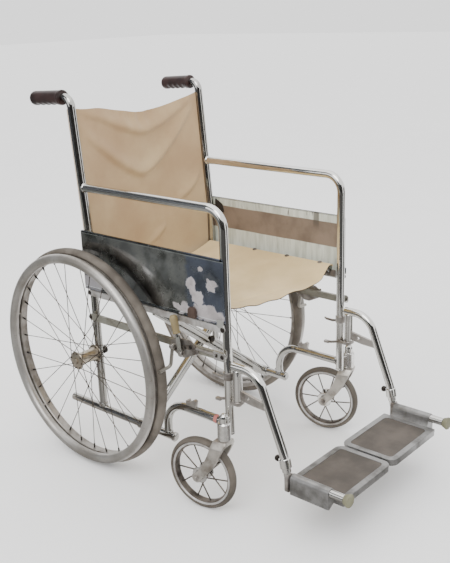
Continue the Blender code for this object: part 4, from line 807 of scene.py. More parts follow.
for label, side in SIDES.items():
    x = side * SIDE_X
    bead = weld_bead(at(x, post_y(ARM_Z) - TUBE_R * 0.86, ARM_Z), (0, -1, 0), TUBE_R)
    outline = [(0, -0.002), (0.008, -0.002), (TUBE_R + 0.0005, 0.001), (TUBE_R + 0.0005, 0.006), (0, 0.006)]
    plug = turned(soft(outline, 0.001), at(x, FRONT_Y, FRONT_FOOT_Z), (0, 0, 1))
    frame_piece(label, "arm_tube", CHROME, "chrome_tube", swept(arm_line(side), TUBE_R), bead, plug)
    tip = SWING_Y - LUG_HALF
    outline = rounded((x - LUG_HALF, FRONT_Y, 0), (x + LUG_HALF, FRONT_Y, 0), (x + LUG_HALF, tip, 0.0075),
                      (x - LUG_HALF, tip, 0.0075))
    lug = plate([outline], 0.005, top_view(LUG_Z))
    pin = bar(at(x, SWING_Y, 0), (0, 0, 1), 0.0049, LUG_Z - 0.002, CLIP_Z)
    bore = TUBE_R - 0.001
    band = [(bore, -0.015), (TUBE_R + 0.0018, -0.015), (TUBE_R + 0.0022, 0.004), (bore, 0.004)]
    clip = turned(soft(band, 0.0008, True), at(x, FRONT_Y, CLIP_Z), (0, 0, 1))
    reach = bent((x, FRONT_Y + TUBE_R, FINGER_Z), (x, FRONT_Y + 0.026, FINGER_Z - 0.003, 0.01),
                 (x, FRONT_Y + 0.046, FINGER_Z - 0.002), (x, FRONT_Y + 0.052, FINGER_Z + 0.001))
    finger = swept(reach, [0.0034] * (len(reach) - 1) + [0.0022], 16)
    frame_piece(label, "swing_pin", STRAP_STEEL, "chrome_tube", lug, pin, clip, finger, solid="", ease=0.0008)
print("arm height", ARM_Z)

# %% Seat cradles
CRADLE_Y = FRONT_Y + 0.042
CRADLE_PLAY, CRADLE_WALL, CRADLE_LONG = 0.0015, 0.0035, 0.030
CRADLE_X, CRADLE_Z = 0.2207, 0.5039

for label, side in SIDES.items():
    x, z = side * CRADLE_X, CRADLE_Z
    inner, outer = TUBE_R + CRADLE_PLAY, TUBE_R + CRADLE_PLAY + CRADLE_WALL
    turns = [math.radians(-150 + 10 * i) for i in range(13)]
    hook = [(x + outer * math.cos(t), z + outer * math.sin(t)) for t in turns]
    hook += [(x + inner * math.cos(t), z + inner * math.sin(t)) for t in reversed(turns)]
    rear, low, high, under = CRADLE_Y + 0.013, z - outer - 0.006, z - 0.004, z - inner - 0.001
    front = FRONT_Y + TUBE_R - 0.001
    web = rounded((rear, low + 0.004, 0.002), (front, low, 0), (front, high, 0),
                  (CRADLE_Y - 0.022, high, 0.002), (CRADLE_Y - 0.016, under, 0.002), (rear, under, 0))
    screw = bar(at(x, CRADLE_Y, z - outer + 0.001), (0, 0, -1), 0.0034, 0, 0.006, 20)
    hook = plate([hook], CRADLE_LONG, front_view(CRADLE_Y))
    web = plate([web], 0.005, side_view(x + side * 0.0045))
    frame_piece(label, "seat_cradle", RUSTY_STEEL, "chrome_tube", hook, web, screw, ease=0.0006)
print("cradles", CRADLE_X, "from the middle")

# %% Flat rails and their bolts
RAIL_NEAR = SIDE_X + TUBE_R + GAP
MID_Z, MID_THICK = 0.410, 0.009
RAILS = {
    "upper_rail": (0.4775, 0.016, 0.005, FLAT_STEEL, "chrome_tube"),
    "mid_rail": (MID_Z, 0.018, MID_THICK, BAR_PAINT, "painted_bar"),
}


def domed_head(side, x, y, z, radius=0.0065, high=0.0022):
    """A low domed head on an outer face."""
    dome = [(0, high), (radius * 0.45, high * 0.9), (radius * 0.85, high * 0.5)]
    return turned(dome + [(radius, 0), (radius, -0.001), (0, -0.001)], at(side * x, y, z), (side, 0, 0), 28)


for label, side in SIDES.items():
    for name, (z, high, thick, finish, slot) in RAILS.items():
        half = high / 2
        outline = oblong(half * 0.6, z - half, FRONT_Y - half * 0.6, z + half, half * 0.95)
        flat = plate([outline], thick, side_view(side * (RAIL_NEAR + thick / 2)))
        frame_piece(label, name, finish, slot, flat, ease=thick * 0.22)
        heads = [domed_head(side, RAIL_NEAR + thick, y, z) for y in (0, FRONT_Y)]
        frame_piece(label, name + "_bolts", DARK_STEEL, "dark_steel", *heads, solid="")
print("flat rails", len(RAILS) * 2)

# %% [markdown]
# ## Lower rails and goosenecks
# The lower rail sticks out behind the wheel's axle: its open end is where a helper's foot tips the
# chair. The tube is drawn as a ring-shaped section there, so that it is really open. Its front end is
# plugged. The gooseneck rises from it in a wide bend and runs forward to the front post.

# %% Lower rails
LOWER_REAR_Y, LOWER_FRONT_Y = 0.1285, -0.280
LOWER_LONG = LOWER_REAR_Y - LOWER_FRONT_Y
BORE_R, BORE_END = TUBE_R - 0.0018, LOWER_LONG - 0.035
PLUG_R = TUBE_R + 0.0016

for label, side in SIDES.items():
    front = at(side * SIDE_X, LOWER_FRONT_Y, LOWER_Z)
    outline = [(0, 0), (TUBE_R, 0), (TUBE_R, LOWER_LONG), (BORE_R, LOWER_LONG),
               (BORE_R, BORE_END), (0, BORE_END)]
    rail = turned(soft(outline, 0.0006), front, (0, 1, 0))
    cap = [(0, -0.0045), (TUBE_R * 0.72, -0.0040), (PLUG_R, -0.0005), (PLUG_R, 0.006), (0, 0.006)]
    plug = turned(soft(cap, 0.0012), front, (0, 1, 0))
    frame_piece(label, "lower_rail", CHROME_LOW, "chrome_tube", rail, plug)
print("lower rail", round(LOWER_LONG, 3), "m long")

# %% Goosenecks
NECK_Y, NECK_Z, NECK_BEND = -0.256, 0.230, 0.066

for label, side in SIDES.items():
    x = side * SIDE_X
    line = bent((x, NECK_Y, LOWER_Z + TUBE_R * 0.75), (x, NECK_Y, NECK_Z, NECK_BEND),
                (x, FRONT_Y + TUBE_R * 0.6, NECK_Z))
    foot = weld_bead(at(x, NECK_Y, LOWER_Z + TUBE_R * 0.92), (0, 0, 1), TUBE_R)
    front = weld_bead(at(x, FRONT_Y + TUBE_R * 0.88, NECK_Z), (0, 1, 0), TUBE_R)
    frame_piece(label, "gooseneck", CHROME_LOW, "chrome_tube", swept(line, TUBE_R), foot, front)
    low, high, rear = NECK_Z + TUBE_R * 0.8, NECK_Z + TUBE_R + 0.018, NECK_Y - NECK_BEND - 0.008
    tongue = rounded((rear, low, 0), (rear + 0.002, high - 0.010, 0.003), (rear - 0.018, high - 0.006, 0.003),
                     (rear - 0.026, high + 0.002, 0.002), (rear - 0.034, high - 0.001, 0.002),
                     (rear - 0.030, low, 0))
    screw = bar(at(x, rear - 0.004, high - 0.007), (1, 0, 0), 0.0028, -0.0075, 0.0075, 20)
    tongue = plate([tongue], 0.009, side_view(x))
    frame_piece(label, "neck_clip", STRAP_STEEL, "chrome_tube", tongue, screw, solid="", ease=0.0006)
print("goosenecks", len(SIDES))

# %% Red tape on the right gooseneck
TAPE_Y, TAPE_WIDE = -0.426, 0.010
TAPE_IN_R, TAPE_OUT_R = TUBE_R - 0.0002, TUBE_R + 0.0004

outline = [(TAPE_IN_R, 0), (TAPE_OUT_R, 0), (TAPE_OUT_R, TAPE_WIDE), (TAPE_IN_R, TAPE_WIDE)]
tape = turned(soft(outline, 0.0001, True), at(-SIDE_X, TAPE_Y, NECK_Z), (0, -1, 0))
frame_piece("right", "tape_mark", TAPE_RED, "chrome_tube", tape, solid="")
print("tape", TAPE_WIDE * 1000, "mm wide")

# %% [markdown]
# ## Skirt guards
# A skirt keeps clothes out of the wheel. It is one pressed sheet, with its top and bottom edges rolled
# over a wire. The mirror face and the rubbed inner face are different finishes, so the sheet is made
# as two skins back to back that together are as thick as the solid.

# %% Skirts
SKIRT_REAR_Y, SKIRT_FRONT_Y = 0.020, FRONT_Y - 0.006
SKIRT_THICK, LINING_THICK, HEM_R = 0.0013, 0.0003, 0.003


def skirt_outline(inset):
    rear, front = SKIRT_REAR_Y - inset, SKIRT_FRONT_Y + inset
    return oblong(rear, SKIRT_LOW_Z + inset, front, SKIRT_TOP_Z - inset, 0.008)


for label, side in SIDES.items():
    outer_skin = SKIRT_THICK - LINING_THICK
    skin_x = side * (RAIL_NEAR + LINING_THICK + outer_skin / 2)
    shapes = [plate([skirt_outline(0)], outer_skin, side_view(skin_x))]
    hem_x = side * (RAIL_NEAR + SKIRT_THICK / 2 + HEM_R * 0.75)
    for z in (SKIRT_LOW_Z + HEM_R, SKIRT_TOP_Z - HEM_R):
        hem = [at(hem_x, SKIRT_REAR_Y - 0.006, z), at(hem_x, SKIRT_FRONT_Y + 0.006, z)]
        shapes.append(swept(hem, HEM_R, 16))
    frame_piece(label, "skirt_guard", SKIRT_METAL, "chromed_sheet", *shapes)
    lining = plate([skirt_outline(0.0012)], LINING_THICK, side_view(side * (RAIL_NEAR + LINING_THICK / 2)))
    frame_piece(label, "skirt_lining", LINING, "chromed_sheet", lining, solid="")
    clip = rounded((-0.0125, SKIRT_TOP_Z - 0.004, 0.002), (-0.040, SKIRT_TOP_Z - 0.020, 0.003),
                   (-0.046, SKIRT_TOP_Z - 0.044, 0.003), (-0.0125, SKIRT_TOP_Z - 0.050, 0.002))
    clip = plate([clip], 0.0022, side_view(side * (RAIL_NEAR - 0.0011)))
    frame_piece(label, "skirt_clip", BLACK_RUBBER, "dark_steel", clip, solid="", ease=0.0005)
print("skirt", round(SKIRT_TOP_Z - SKIRT_LOW_Z, 3), "high")

# %% [markdown]
# ## Rear wheels
# From the hub out: an axle with nuts, a long hub with two flanges, thirty-two wire spokes that cross
# three others each, nipples that pull them tight in the rim, a solid tyre, and the handrim on its
# studs. Tangential spokes carry a push from the hub to the rim, which straight ones can't, and the
# lacing is one rule: every second spoke leans ahead, every other one behind.

# %% Rim, tyre and handrim
WHEEL_X = AXLE.x
TYRE_WIDE, TYRE_DEEP = 0.030, 0.020
RIM_BED_R = WHEEL_R - TYRE_DEEP
RIM_IN_R, RIM_LIP_R, RIM_WIDE = RIM_BED_R - 0.0085, RIM_BED_R + 0.004, 0.0268
HANDRIM_R, HANDRIM_TUBE, HANDRIM_OUT = RIM_BED_R - 0.0020, 0.0128, 0.0292
HANDRIM_STUDS = 6
WHEEL_STEPS = 144


def both_ways(half):
    """A closed section from its half: (radius, offset) points, mirrored about the middle."""
    return half + [(r, -a) for r, a in reversed(half) if a > 0]


for label, side in SIDES.items():
    centre, out, body = at(side * WHEEL_X, 0, AXLE.z), (side, 0, 0), label + "_wheel"
    half = TYRE_WIDE / 2
    section = [(WHEEL_R, 0.0015), (WHEEL_R - 0.0004, 0.0045), (WHEEL_R - 0.0024, 0.0092),
               (WHEEL_R - 0.0058, 0.0127), (WHEEL_R - 0.0092, half - 0.0003), (WHEEL_R - 0.0106, half),
               (WHEEL_R - 0.0120, half - 0.0009), (RIM_LIP_R + 0.0008, half - 0.0014),
               (RIM_BED_R + GAP, RIM_WIDE / 2 - 0.0041)]
    tyre = turned(both_ways(section), centre, out, WHEEL_STEPS)
    side_piece(label, "tyre", body, TYRE_RUBBER, "tyre_rubber", tyre, sharp=50)
    half = RIM_WIDE / 2
    section = [(RIM_BED_R - 0.0002, half - 0.0022), (RIM_LIP_R - 0.0006, half - 0.0016),
               (RIM_LIP_R, half - 0.0008), (RIM_LIP_R - 0.0010, half - 0.0001), (RIM_BED_R - 0.001, half),
               (RIM_BED_R - 0.0030, half - 0.0010), (RIM_IN_R + 0.0015, half - 0.0016),
               (RIM_IN_R, half - 0.0034), (RIM_IN_R + 0.0012, RIM_WIDE * 0.20), (RIM_IN_R + 0.0012, 0.001)]
    rim = turned(both_ways(soft(section, 0.0008)), centre, out, WHEEL_STEPS)
    side_piece(label, "rim", body, RIM_ALLOY, "cast_alloy", rim, sharp=50)
    shapes = [turned(ring(HANDRIM_R, HANDRIM_OUT, HANDRIM_TUBE), centre, out, WHEEL_STEPS)]
    stud_r = RIM_BED_R - 0.0045
    for i in range(HANDRIM_STUDS):
        turn = 2 * math.pi * (i + 0.25) / HANDRIM_STUDS
        spot = centre + Vector((0, stud_r * math.cos(turn), stud_r * math.sin(turn)))
        shapes.append(bar(spot, out, 0.0035, half - 0.001, HANDRIM_OUT, 20))
    side_piece(label, "handrim", body, HANDRIM_METAL, "cast_alloy", *shapes, sharp=50)
print("wheel", round(WHEEL_R * 2, 3), "over the tyre")

# %% Hubs, spokes and nipples
HUB_FLANGE, HUB_FLANGE_R, HUB_HALF, HUB_BARREL_R = 0.0315, 0.025, 0.0348, 0.0168
SPOKES, SPOKE_R, SPOKE_CROSSES, SPOKE_HOLE_R = 32, 0.00105, 3, 0.0212
NIPPLE_R, NIPPLE_LONG = 0.0024, 0.013


def spoke_ends(i):
    """Where spoke i starts on its flange and ends in the rim: (offset, radius, angle) each."""
    flange = 1 if i % 2 else -1
    lean = 1 if i % 4 < 2 else -1
    turn = 2 * math.pi * i / SPOKES
    start = (flange * (HUB_FLANGE + lean * 0.0014), SPOKE_HOLE_R, turn)
    end = (flange * 0.0008, RIM_IN_R + 0.0018, turn + lean * SPOKE_CROSSES * 4 * math.pi / SPOKES)
    return start, end


for label, side in SIDES.items():
    centre, out, body = at(side * WHEEL_X, 0, AXLE.z), (side, 0, 0), label + "_wheel"
    barrel = both_ways([
        (HUB_BARREL_R, 0.004), (HUB_BARREL_R, HUB_FLANGE - 0.010),
        (HUB_BARREL_R + 0.003, HUB_FLANGE - 0.002), (HUB_FLANGE_R - 0.001, HUB_FLANGE - 0.0015),
        (HUB_FLANGE_R, HUB_FLANGE), (HUB_FLANGE_R - 0.001, HUB_FLANGE + 0.0015),
        (HUB_BARREL_R + 0.003, HUB_FLANGE + 0.0017), (0.0150, HUB_HALF - 0.0006), (0.0140, HUB_HALF),
        (0.0064, HUB_HALF - 0.0002),
    ])
    wires, nipples = [], []
    for i in range(SPOKES):
        ends = []
        for offset, radius, turn in spoke_ends(i):
            ends.append(centre + Vector((side * offset, radius * math.cos(turn), radius * math.sin(turn))))
        run = (ends[1] - ends[0]).normalized()
        wires.append(swept([ends[0] - run * 0.003, ends[1] - run * 0.004], SPOKE_R, 10))
        nipple = [(0, -NIPPLE_LONG), (SPOKE_R + 0.0003, -NIPPLE_LONG), (NIPPLE_R, -NIPPLE_LONG + 0.002),
                  (NIPPLE_R, 0), (0, 0)]
        nipples.append(turned(nipple, ends[1], run, 12))
        wires.append(bar(ends[0], run.cross(Vector(out)).cross(run), 0.0019, -0.0005, 0.0022, 10, 0.0003))
    side_piece(label, "hub", body, HUB_STEEL, "plain_steel", turned(barrel, centre, out), solid="spoked_hub")
    side_piece(label, "spokes", body, WIRE_STEEL, "plain_steel", *wires, solid="")
    side_piece(label, "nipples", body, BLACK_RUBBER, "dark_steel", *nipples, solid="")
print("spokes", SPOKES * 2)

# %% Axles
for label, side in SIDES.items():
    inner, outer = SIDE_X - TUBE_R - 0.0005, SIDE_X + TUBE_R + 0.0005
    hub_in, hub_out = WHEEL_X - HUB_HALF, WHEEL_X + HUB_HALF
    place, out = at(0, 0, AXLE.z), (side, 0, 0)
    end = inner - 0.0135
    outline = [(0, end), (0.0070, end), (0.010, inner - 0.011), (0.010, inner), (0, inner)]
    nut_in = turned(soft(outline, 0.0012), place, out)
    shoulder = bar(place, out, 0.009, outer, hub_in - GAP, 48)
    shaft = bar(place, out, 0.006, inner - 0.001, hub_out + 0.0040)
    hexagon = bar(place, out, 0.0095, hub_out + 0.0005, hub_out + 0.0045, 6, 0.0005)
    frame_piece(label, "axle", DARK_STEEL, "dark_steel", nut_in, shoulder, shaft, sharp=30)
    frame_piece(label, "axle_nut", HUB_STEEL, "plain_steel", hexagon, solid="", sharp=30)
print("axle height", round(AXLE.z, 4))

# %% [markdown]
# ## Casters
# A caster trails behind its upright pivot, so it swings round by itself when the chair turns. The
# cast fork is bowed in side view and waisted in front view, which no single extrusion gives. Two flat
# outlines are drawn through each other and only what both hold is kept: that is the casting.

# %% Caster places and the bearing barrels
CASTER_X, CASTER_Y, CASTER_R = SIDE_X + 0.032, FRONT_Y - 0.008, 0.0955
CASTER_TRAIL = 0.067
STEER = {"right": 0.148, "left": 0.259}
BARREL_R, BARREL_LOW_Z, BARREL_TOP_Z = 0.0165, 0.2045, 0.2495
DOME_R, DOME_TOP_Z = 0.0115, 0.273

for label, side in SIDES.items():
    place = at(side * CASTER_X, CASTER_Y, 0)
    sleeve = [(0, BARREL_LOW_Z + 0.001), (BARREL_R - 0.001, BARREL_LOW_Z + 0.0002),
              (BARREL_R, BARREL_LOW_Z + 0.001), (BARREL_R, BARREL_TOP_Z - 0.0025),
              (BARREL_R - 0.0020, BARREL_TOP_Z - 0.0002), (0, BARREL_TOP_Z)]
    post, barrel = SIDE_X + TUBE_R * 0.7, CASTER_X - BARREL_R * 0.6
    arms = [(post, FRONT_Y + 0.006), (barrel, CASTER_Y + 0.011),
            (barrel, CASTER_Y - 0.011), (post, FRONT_Y - 0.006)]
    web = plate([[(side * x, y) for x, y in arms]], 0.030, top_view(0.227))
    sleeve = turned(sleeve, place, (0, 0, 1))
    frame_piece(label, "caster_barrel", BARREL_ALLOY, "cast_alloy", sleeve, web, ease=0.0006)
    dome = [(0, DOME_TOP_Z)]
    for k in range(1, 10):
        t = math.pi / 2 * k / 9
        dome.append((DOME_R * math.sin(t), DOME_TOP_Z - DOME_R + DOME_R * math.cos(t)))
    dome += [(DOME_R, BARREL_TOP_Z + 0.0004), (DOME_R + 0.0022, BARREL_TOP_Z), (0, BARREL_TOP_Z - 0.001)]
    frame_piece(label, "barrel_cap", CHROME, "chrome_tube", turned(dome, place, (0, 0, 1)), solid="")
print("casters", round(CASTER_R * 2, 3), "across")


# %% Cast forks
def caster_frame(label, side):
    """From the caster's own axes, trailing along +Y, to its place under the barrel."""
    return Matrix.Translation(at(side * CASTER_X, CASTER_Y, 0)) @ Matrix.Rotation(STEER[label], 4, "Z")


FORK_TOP_Z, FORK_HALF, FORK_SLOT = 0.2040, 0.0300, 0.0215


def fork_side():
    """The fork in side view: a bowed arm that narrows from the crown to the axle boss."""
    top, bow = Vector((0.001, FORK_TOP_Z + 0.012)), Vector((0.012, 0.150))
    end = Vector((CASTER_TRAIL, CASTER_R))
    front, back = [], []
    steps = 18
    for i in range(steps):
        t = i / steps
        middle = top * (1 - t) ** 2 + bow * 2 * t * (1 - t) + end * t * t
        run = ((bow - top) * (1 - t) + (end - bow) * t).normalized()
        side_step = Vector((-run.y, run.x)) * (0.0185 * (1 - t) + 0.0100 * t)
        front.append(middle - side_step)
        back.append(middle + side_step)
    heading = math.atan2(end.y - bow.y, end.x - bow.x)
    turns = [heading + math.radians(-80 + 16 * k) for k in range(11)]
    boss = [Vector((end.x + 0.0135 * math.cos(t), end.y + 0.0135 * math.sin(t))) for t in turns]
    return [tuple(p) for p in front + boss + back[::-1]]


def fork_front():
    """The fork in front view: a narrow crown, shoulders, and the slot for the wheel."""
    crown, neck, foot = 0.0215, 0.0175, 0.06
    top, brow, shoulder, slot_top = [FORK_TOP_Z - down for down in (0.0014, 0.0055, 0.018, 0.016)]
    return rounded(
        (-FORK_HALF, foot, 0), (-FORK_HALF, shoulder, 0.012), (-crown, brow, 0.006),
        (-neck, top, 0.003), (neck, top, 0.003), (crown, brow, 0.006),
        (FORK_HALF, shoulder, 0.014), (FORK_HALF, foot, 0), (FORK_SLOT, foot, 0),
        (FORK_SLOT, slot_top, 0.012), (-FORK_SLOT, slot_top, 0.012), (-FORK_SLOT, foot, 0))


def loose(name, points, faces):
    """A helper mesh for a Boolean."""
    mesh = bpy.data.meshes.new(name)
    mesh.from_pydata([tuple(p) for p in points], [], faces)
    work = bmesh.new()
    work.from_mesh(mesh)
    bmesh.ops.recalc_face_normals(work, faces=work.faces)
    work.to_mesh(mesh)
    work.free()
    made = bpy.data.objects.new(name, mesh)
    bpy.context.scene.collection.objects.link(made)
    return made


def common(first, second, ease):
    """The points and faces of what two shapes share, with eased edges."""
    keep, tool = loose("keep", *first), loose("tool", *second)
    step = keep.modifiers.new("common", "BOOLEAN")
    step.operation = "INTERSECT"
    step.solver = "EXACT"
    step.object = tool
    edge = keep.modifiers.new("ease", "BEVEL")
    edge.width = ease
    edge.segments = 3
    edge.limit_method = "ANGLE"
    edge.angle_limit = math.radians(40)
    bpy.context.view_layer.update()
    mesh = keep.evaluated_get(bpy.context.evaluated_depsgraph_get()).to_mesh()
    points = [vertex.co.copy() for vertex in mesh.vertices]
    faces = [tuple(face.vertices) for face in mesh.polygons]
    for helper in (keep, tool):
        bpy.data.objects.remove(helper, do_unlink=True)
    return points, faces


OWN_SIDE = Matrix(((0, 0, 1, 0), (1, 0, 0, 0), (0, 1, 0, 0), (0, 0, 0, 1)))
OWN_FRONT = Matrix(((1, 0, 0, 0), (0, 0, -1, 0), (0, 1, 0, 0), (0, 0, 0, 1)))
FORK = common(plate([fork_side()], 0.08, OWN_SIDE), plate([fork_front()], 0.30, OWN_FRONT), 0.0018)


def moved(shape, change):
    points, faces = shape
    return [change @ point for point in points], faces


OWN_AXLE, ALONG = Vector((0, CASTER_TRAIL, CASTER_R)), (1, 0, 0)
BORDER = [
    rounded((0.0055, 0.166, 0.003), (0.0215, 0.160, 0.003), (0.0480, 0.124, 0.003),
            (0.0400, 0.114, 0.003), (0.0150, 0.140, 0.003)),
    rounded((0.0105, 0.159, 0.002), (0.0205, 0.155, 0.002), (0.0420, 0.125, 0.002),
            (0.0390, 0.121, 0.002), (0.0180, 0.142, 0.002)),
]

for label, side in SIDES.items():
    stand, body = caster_frame(label, side), label + "_caster_swivel"
    pads = []
    for way in (-1, 1):
        view = Matrix.Translation((way * (FORK_HALF + 0.0002), 0, 0)) @ OWN_SIDE
        pads.append(moved(plate(BORDER, 0.0016, view), stand))
    side_piece(label, "fork_borders", body, FORK_ALLOY, "cast_alloy", *pads, solid="", ease=0.0005)
    side_piece(label, "caster_fork", body, FORK_ALLOY, "cast_alloy", moved(FORK, stand), sharp=44)
    washer = bar(Vector((0, 0, 0)), (0, 0, 1), 0.0150, FORK_TOP_Z - 0.0022, FORK_TOP_Z + 0.0002)
    shapes = [washer, bar(OWN_AXLE, ALONG, 0.004, -FORK_HALF - 0.007, FORK_HALF + 0.007)]
    for way in (-1, 1):
        shapes.append(bar(OWN_AXLE, (way, 0, 0), 0.0078, FORK_HALF - 0.001, FORK_HALF + 0.0045, 6, 0.0005))
    shapes = [moved(shape, stand) for shape in shapes]
    side_piece(label, "caster_bolt", body, STRAP_STEEL, "dark_steel", *shapes, solid="", sharp=30)
print("fork faces", len(FORK[1]))

# %% Caster wheels and tyres
CASTER_SPOKES, CASTER_RIM_R, CASTER_WIDE, CASTER_STEPS = 10, CASTER_R - 0.0110, 0.024, 96
CASTER_DISC = ((0.0078, 0.0136), (0.0205, 0.0140), (0.0213, 0.0150), (0.0200, 0.0166), (0.0078, 0.0172))
CASTER_RIM = ((0, 0.001), (0, 0.0098), (0.0010, 0.0110), (0.0044, 0.0110), (0.0056, 0.0094), (0.0050, 0.001))
CASTER_BED = ((0.0048, 0.001), (0.0048, 0.0090), (0.0088, 0.0076), (0.0096, 0.0050), (0.0096, 0.001))

for label, side in SIDES.items():
    stand, body = caster_frame(label, side), label + "_caster"
    hub = both_ways([(0.0105, 0.003), (0.0105, 0.0085), (0.0120, 0.0100), (0.0120, 0.0128), (0.0085, 0.0134),
                     (0.0080, 0.0208), (0.0045, 0.0209)])
    flanges = []
    for way in (-1, 1):
        disc = [(radius, way * off) for radius, off in CASTER_DISC]
        flanges.append(turned(soft(disc, 0.0006, True), OWN_AXLE, ALONG))
    rim, bed = [both_ways(soft([(CASTER_RIM_R - deep, off) for deep, off in section], 0.0006))
                for section in (CASTER_RIM, CASTER_BED)]
    step = 2 * math.pi / CASTER_SPOKES
    wires = []
    for i in range(CASTER_SPOKES):
        way = 1 if i % 2 else -1
        near, far = step * i, step * (i + way * 0.95)
        ends = []
        for off, radius, turn in ((way * 0.0112, 0.0105, near), (way * 0.0022, CASTER_RIM_R - 0.0084, far)):
            ends.append(OWN_AXLE + Vector((off, radius * math.cos(turn), radius * math.sin(turn))))
        wires.append(swept(ends, 0.0018, 12))
    hub = moved(turned(hub, OWN_AXLE, ALONG), stand)
    flanges, wires = [[moved(shape, stand) for shape in shapes] for shapes in (flanges, wires)]
    side_piece(label, "caster_hub", body, RUSTY_STEEL, "cast_alloy", hub, solid="caster_wheel")
    side_piece(label, "caster_flanges", body, BARREL_ALLOY, "cast_alloy", *flanges, solid="")
    rim, bed = [moved(turned(section, OWN_AXLE, ALONG, CASTER_STEPS), stand) for section in (rim, bed)]
    side_piece(label, "caster_rim", body, FLAT_STEEL, "cast_alloy", rim, solid="", sharp=50)
    side_piece(label, "caster_bed", body, RUSTY_STEEL, "cast_alloy", bed, solid="", sharp=50)
    side_piece(label, "caster_spokes", body, WIRE_STEEL, "dark_steel", *wires, solid="")
    half = CASTER_WIDE / 2
    section = both_ways([(CASTER_R, 0.002), (CASTER_R - 0.0006, 0.0052), (CASTER_R - 0.0030, 0.0092),
                         (CASTER_R - 0.0060, half - 0.0006), (CASTER_R - 0.0082, half),
                         (CASTER_R - 0.0100, half - 0.0008), (CASTER_RIM_R + GAP, 0.0100)])
    tyre = moved(turned(section, OWN_AXLE, ALONG, CASTER_STEPS), stand)
    side_piece(label, "caster_tyre", body, CASTER_RUBBER, "tyre_rubber", tyre, sharp=50)
print("caster spokes", CASTER_SPOKES * 2)

# %% [markdown]
# ## The cross brace
# Two tubes cross under the seat. Each has a sleeve that turns on one lower rail, and carries the
# opposite seat rail on its upper end, so pulling up the seat closes the X and folds the chair.

# %% Braces, seat rails and the pivot bolt
BRACE_R, BRACE_ANGLE = 0.0105, math.radians(37.2)
BRACES = {"brace_a": (1, -0.1915, "brace_leg_a"), "brace_b": (-1, -0.168, "brace_leg_b")}
SEAT_RAIL_REAR_Y, SEAT_RAIL_FRONT_Y = -0.012, -0.4490
BRACE_LONG = 2 * SIDE_X / math.cos(BRACE_ANGLE)
BRACE_ROD_R = 0.0056


def brace_point(foot_side, along, square=0.0):
    """A point of the brace that stands on one side's lower rail: x and z."""
    run = Vector((math.cos(BRACE_ANGLE), math.sin(BRACE_ANGLE)))
    spot = Vector((-SIDE_X, LOWER_Z)) + run * along + Vector((-run.y, run.x)) * square
    return -foot_side * spot.x, spot.y


SEAT_RAIL_X, SEAT_RAIL_Z = brace_point(-1, BRACE_LONG - 0.005, 0.0203)

for name, (foot_side, y, body) in BRACES.items():
    (low_x, low_z), (high_x, high_z) = brace_point(foot_side, 0.012), brace_point(foot_side, BRACE_LONG)
    leg = swept([at(low_x, y, low_z), at(high_x, y, high_z)], BRACE_R)
    sleeve = both_ways([(TUBE_R + GAP, 0.0005), (TUBE_R + GAP, 0.0198), (0.0132, 0.020), (0.0145, 0.0185),
                        (0.0145, 0.0005)])
    sleeve = turned(sleeve, at(foot_side * SIDE_X, y, LOWER_Z), (0, 1, 0))
    piece(name, body, CHROME_LOW, leg, sleeve, node=name, slot="chrome_tube")
    under = -(BRACE_R + BRACE_ROD_R)
    (low_x, low_z), (high_x, high_z) = [brace_point(foot_side, s, under) for s in (0.055, BRACE_LONG - 0.055)]
    rod = swept([at(low_x, y, low_z), at(high_x, y, high_z)], BRACE_ROD_R, 16)
    piece(name + "_rod", body, CHROME_LOW, rod, slot="chrome_tube")
    rail = bar(at(-foot_side * SEAT_RAIL_X, 0, SEAT_RAIL_Z), (0, 1, 0), TUBE_R, SEAT_RAIL_FRONT_Y,
               SEAT_RAIL_REAR_Y, 48, 0.0016)
    piece(name + "_seat_rail", body, CHROME_LOW, rail, slot="chrome_tube")

CROSS_Y = (BRACES["brace_a"][1] + BRACES["brace_b"][1]) / 2
cross_at = at(0, CROSS_Y, LOWER_Z + SIDE_X * math.tan(BRACE_ANGLE))
half_way = (BRACES["brace_b"][1] - BRACES["brace_a"][1]) / 2
head = half_way + BRACE_R + 0.0005
outline = [(0, -head - 0.006), (0.0065, -head - 0.006), (0.0105, -head - 0.0035), (0.0105, -head), (0, -head)]
knob = turned(soft(outline, 0.0015), cross_at, (0, 1, 0))
shaft = bar(cross_at, (0, 1, 0), 0.004, -head, head + 0.009)
washer = bar(cross_at, (0, 1, 0), 0.009, -half_way + BRACE_R + GAP, half_way - BRACE_R - GAP)
nut = bar(cross_at, (0, 1, 0), 0.008, head, head + 0.006, 6, 0.0005)
piece("pivot_bolt", "brace_leg_b", DARK_STEEL, knob, shaft, washer, nut,
      node="pivot_bolt", slot="dark_steel", sharp=30)
print("seat rails at", round(SEAT_RAIL_X, 4), round(SEAT_RAIL_Z, 4))

# %% [markdown]
# ## Wheel brakes
# Pulling the olive handle forward turns the flat lever, which presses the bent rod on the tread. The
# two pivots sit on a steel plate on the middle rail, with a rusty strap bolted across it.

# %% Brakes
BRAKE_ARM_Y = -WHEEL_R - 0.0155
BRAKE_ARM_Z = MID_Z - 0.005
BRAKE_Y, BRAKE_Z = BRAKE_ARM_Y - 0.027, MID_Z - 0.018
BRAKE_X = SIDE_X + 0.0295
BRAKE_TIP_Z = WHEEL_R + 0.043
BRAKE_ROD_R, EYE_HALF = 0.0045, 0.0045
BRACKET_NEAR = RAIL_NEAR + MID_THICK + GAP
STRAP_BOLTS = (
    (0.022, 0.0085, 0.0052), (-0.012, 0.0175, 0.0046), (-0.030, 0.0220, 0.0050), (0.004, 0.0130, 0.0036),
)


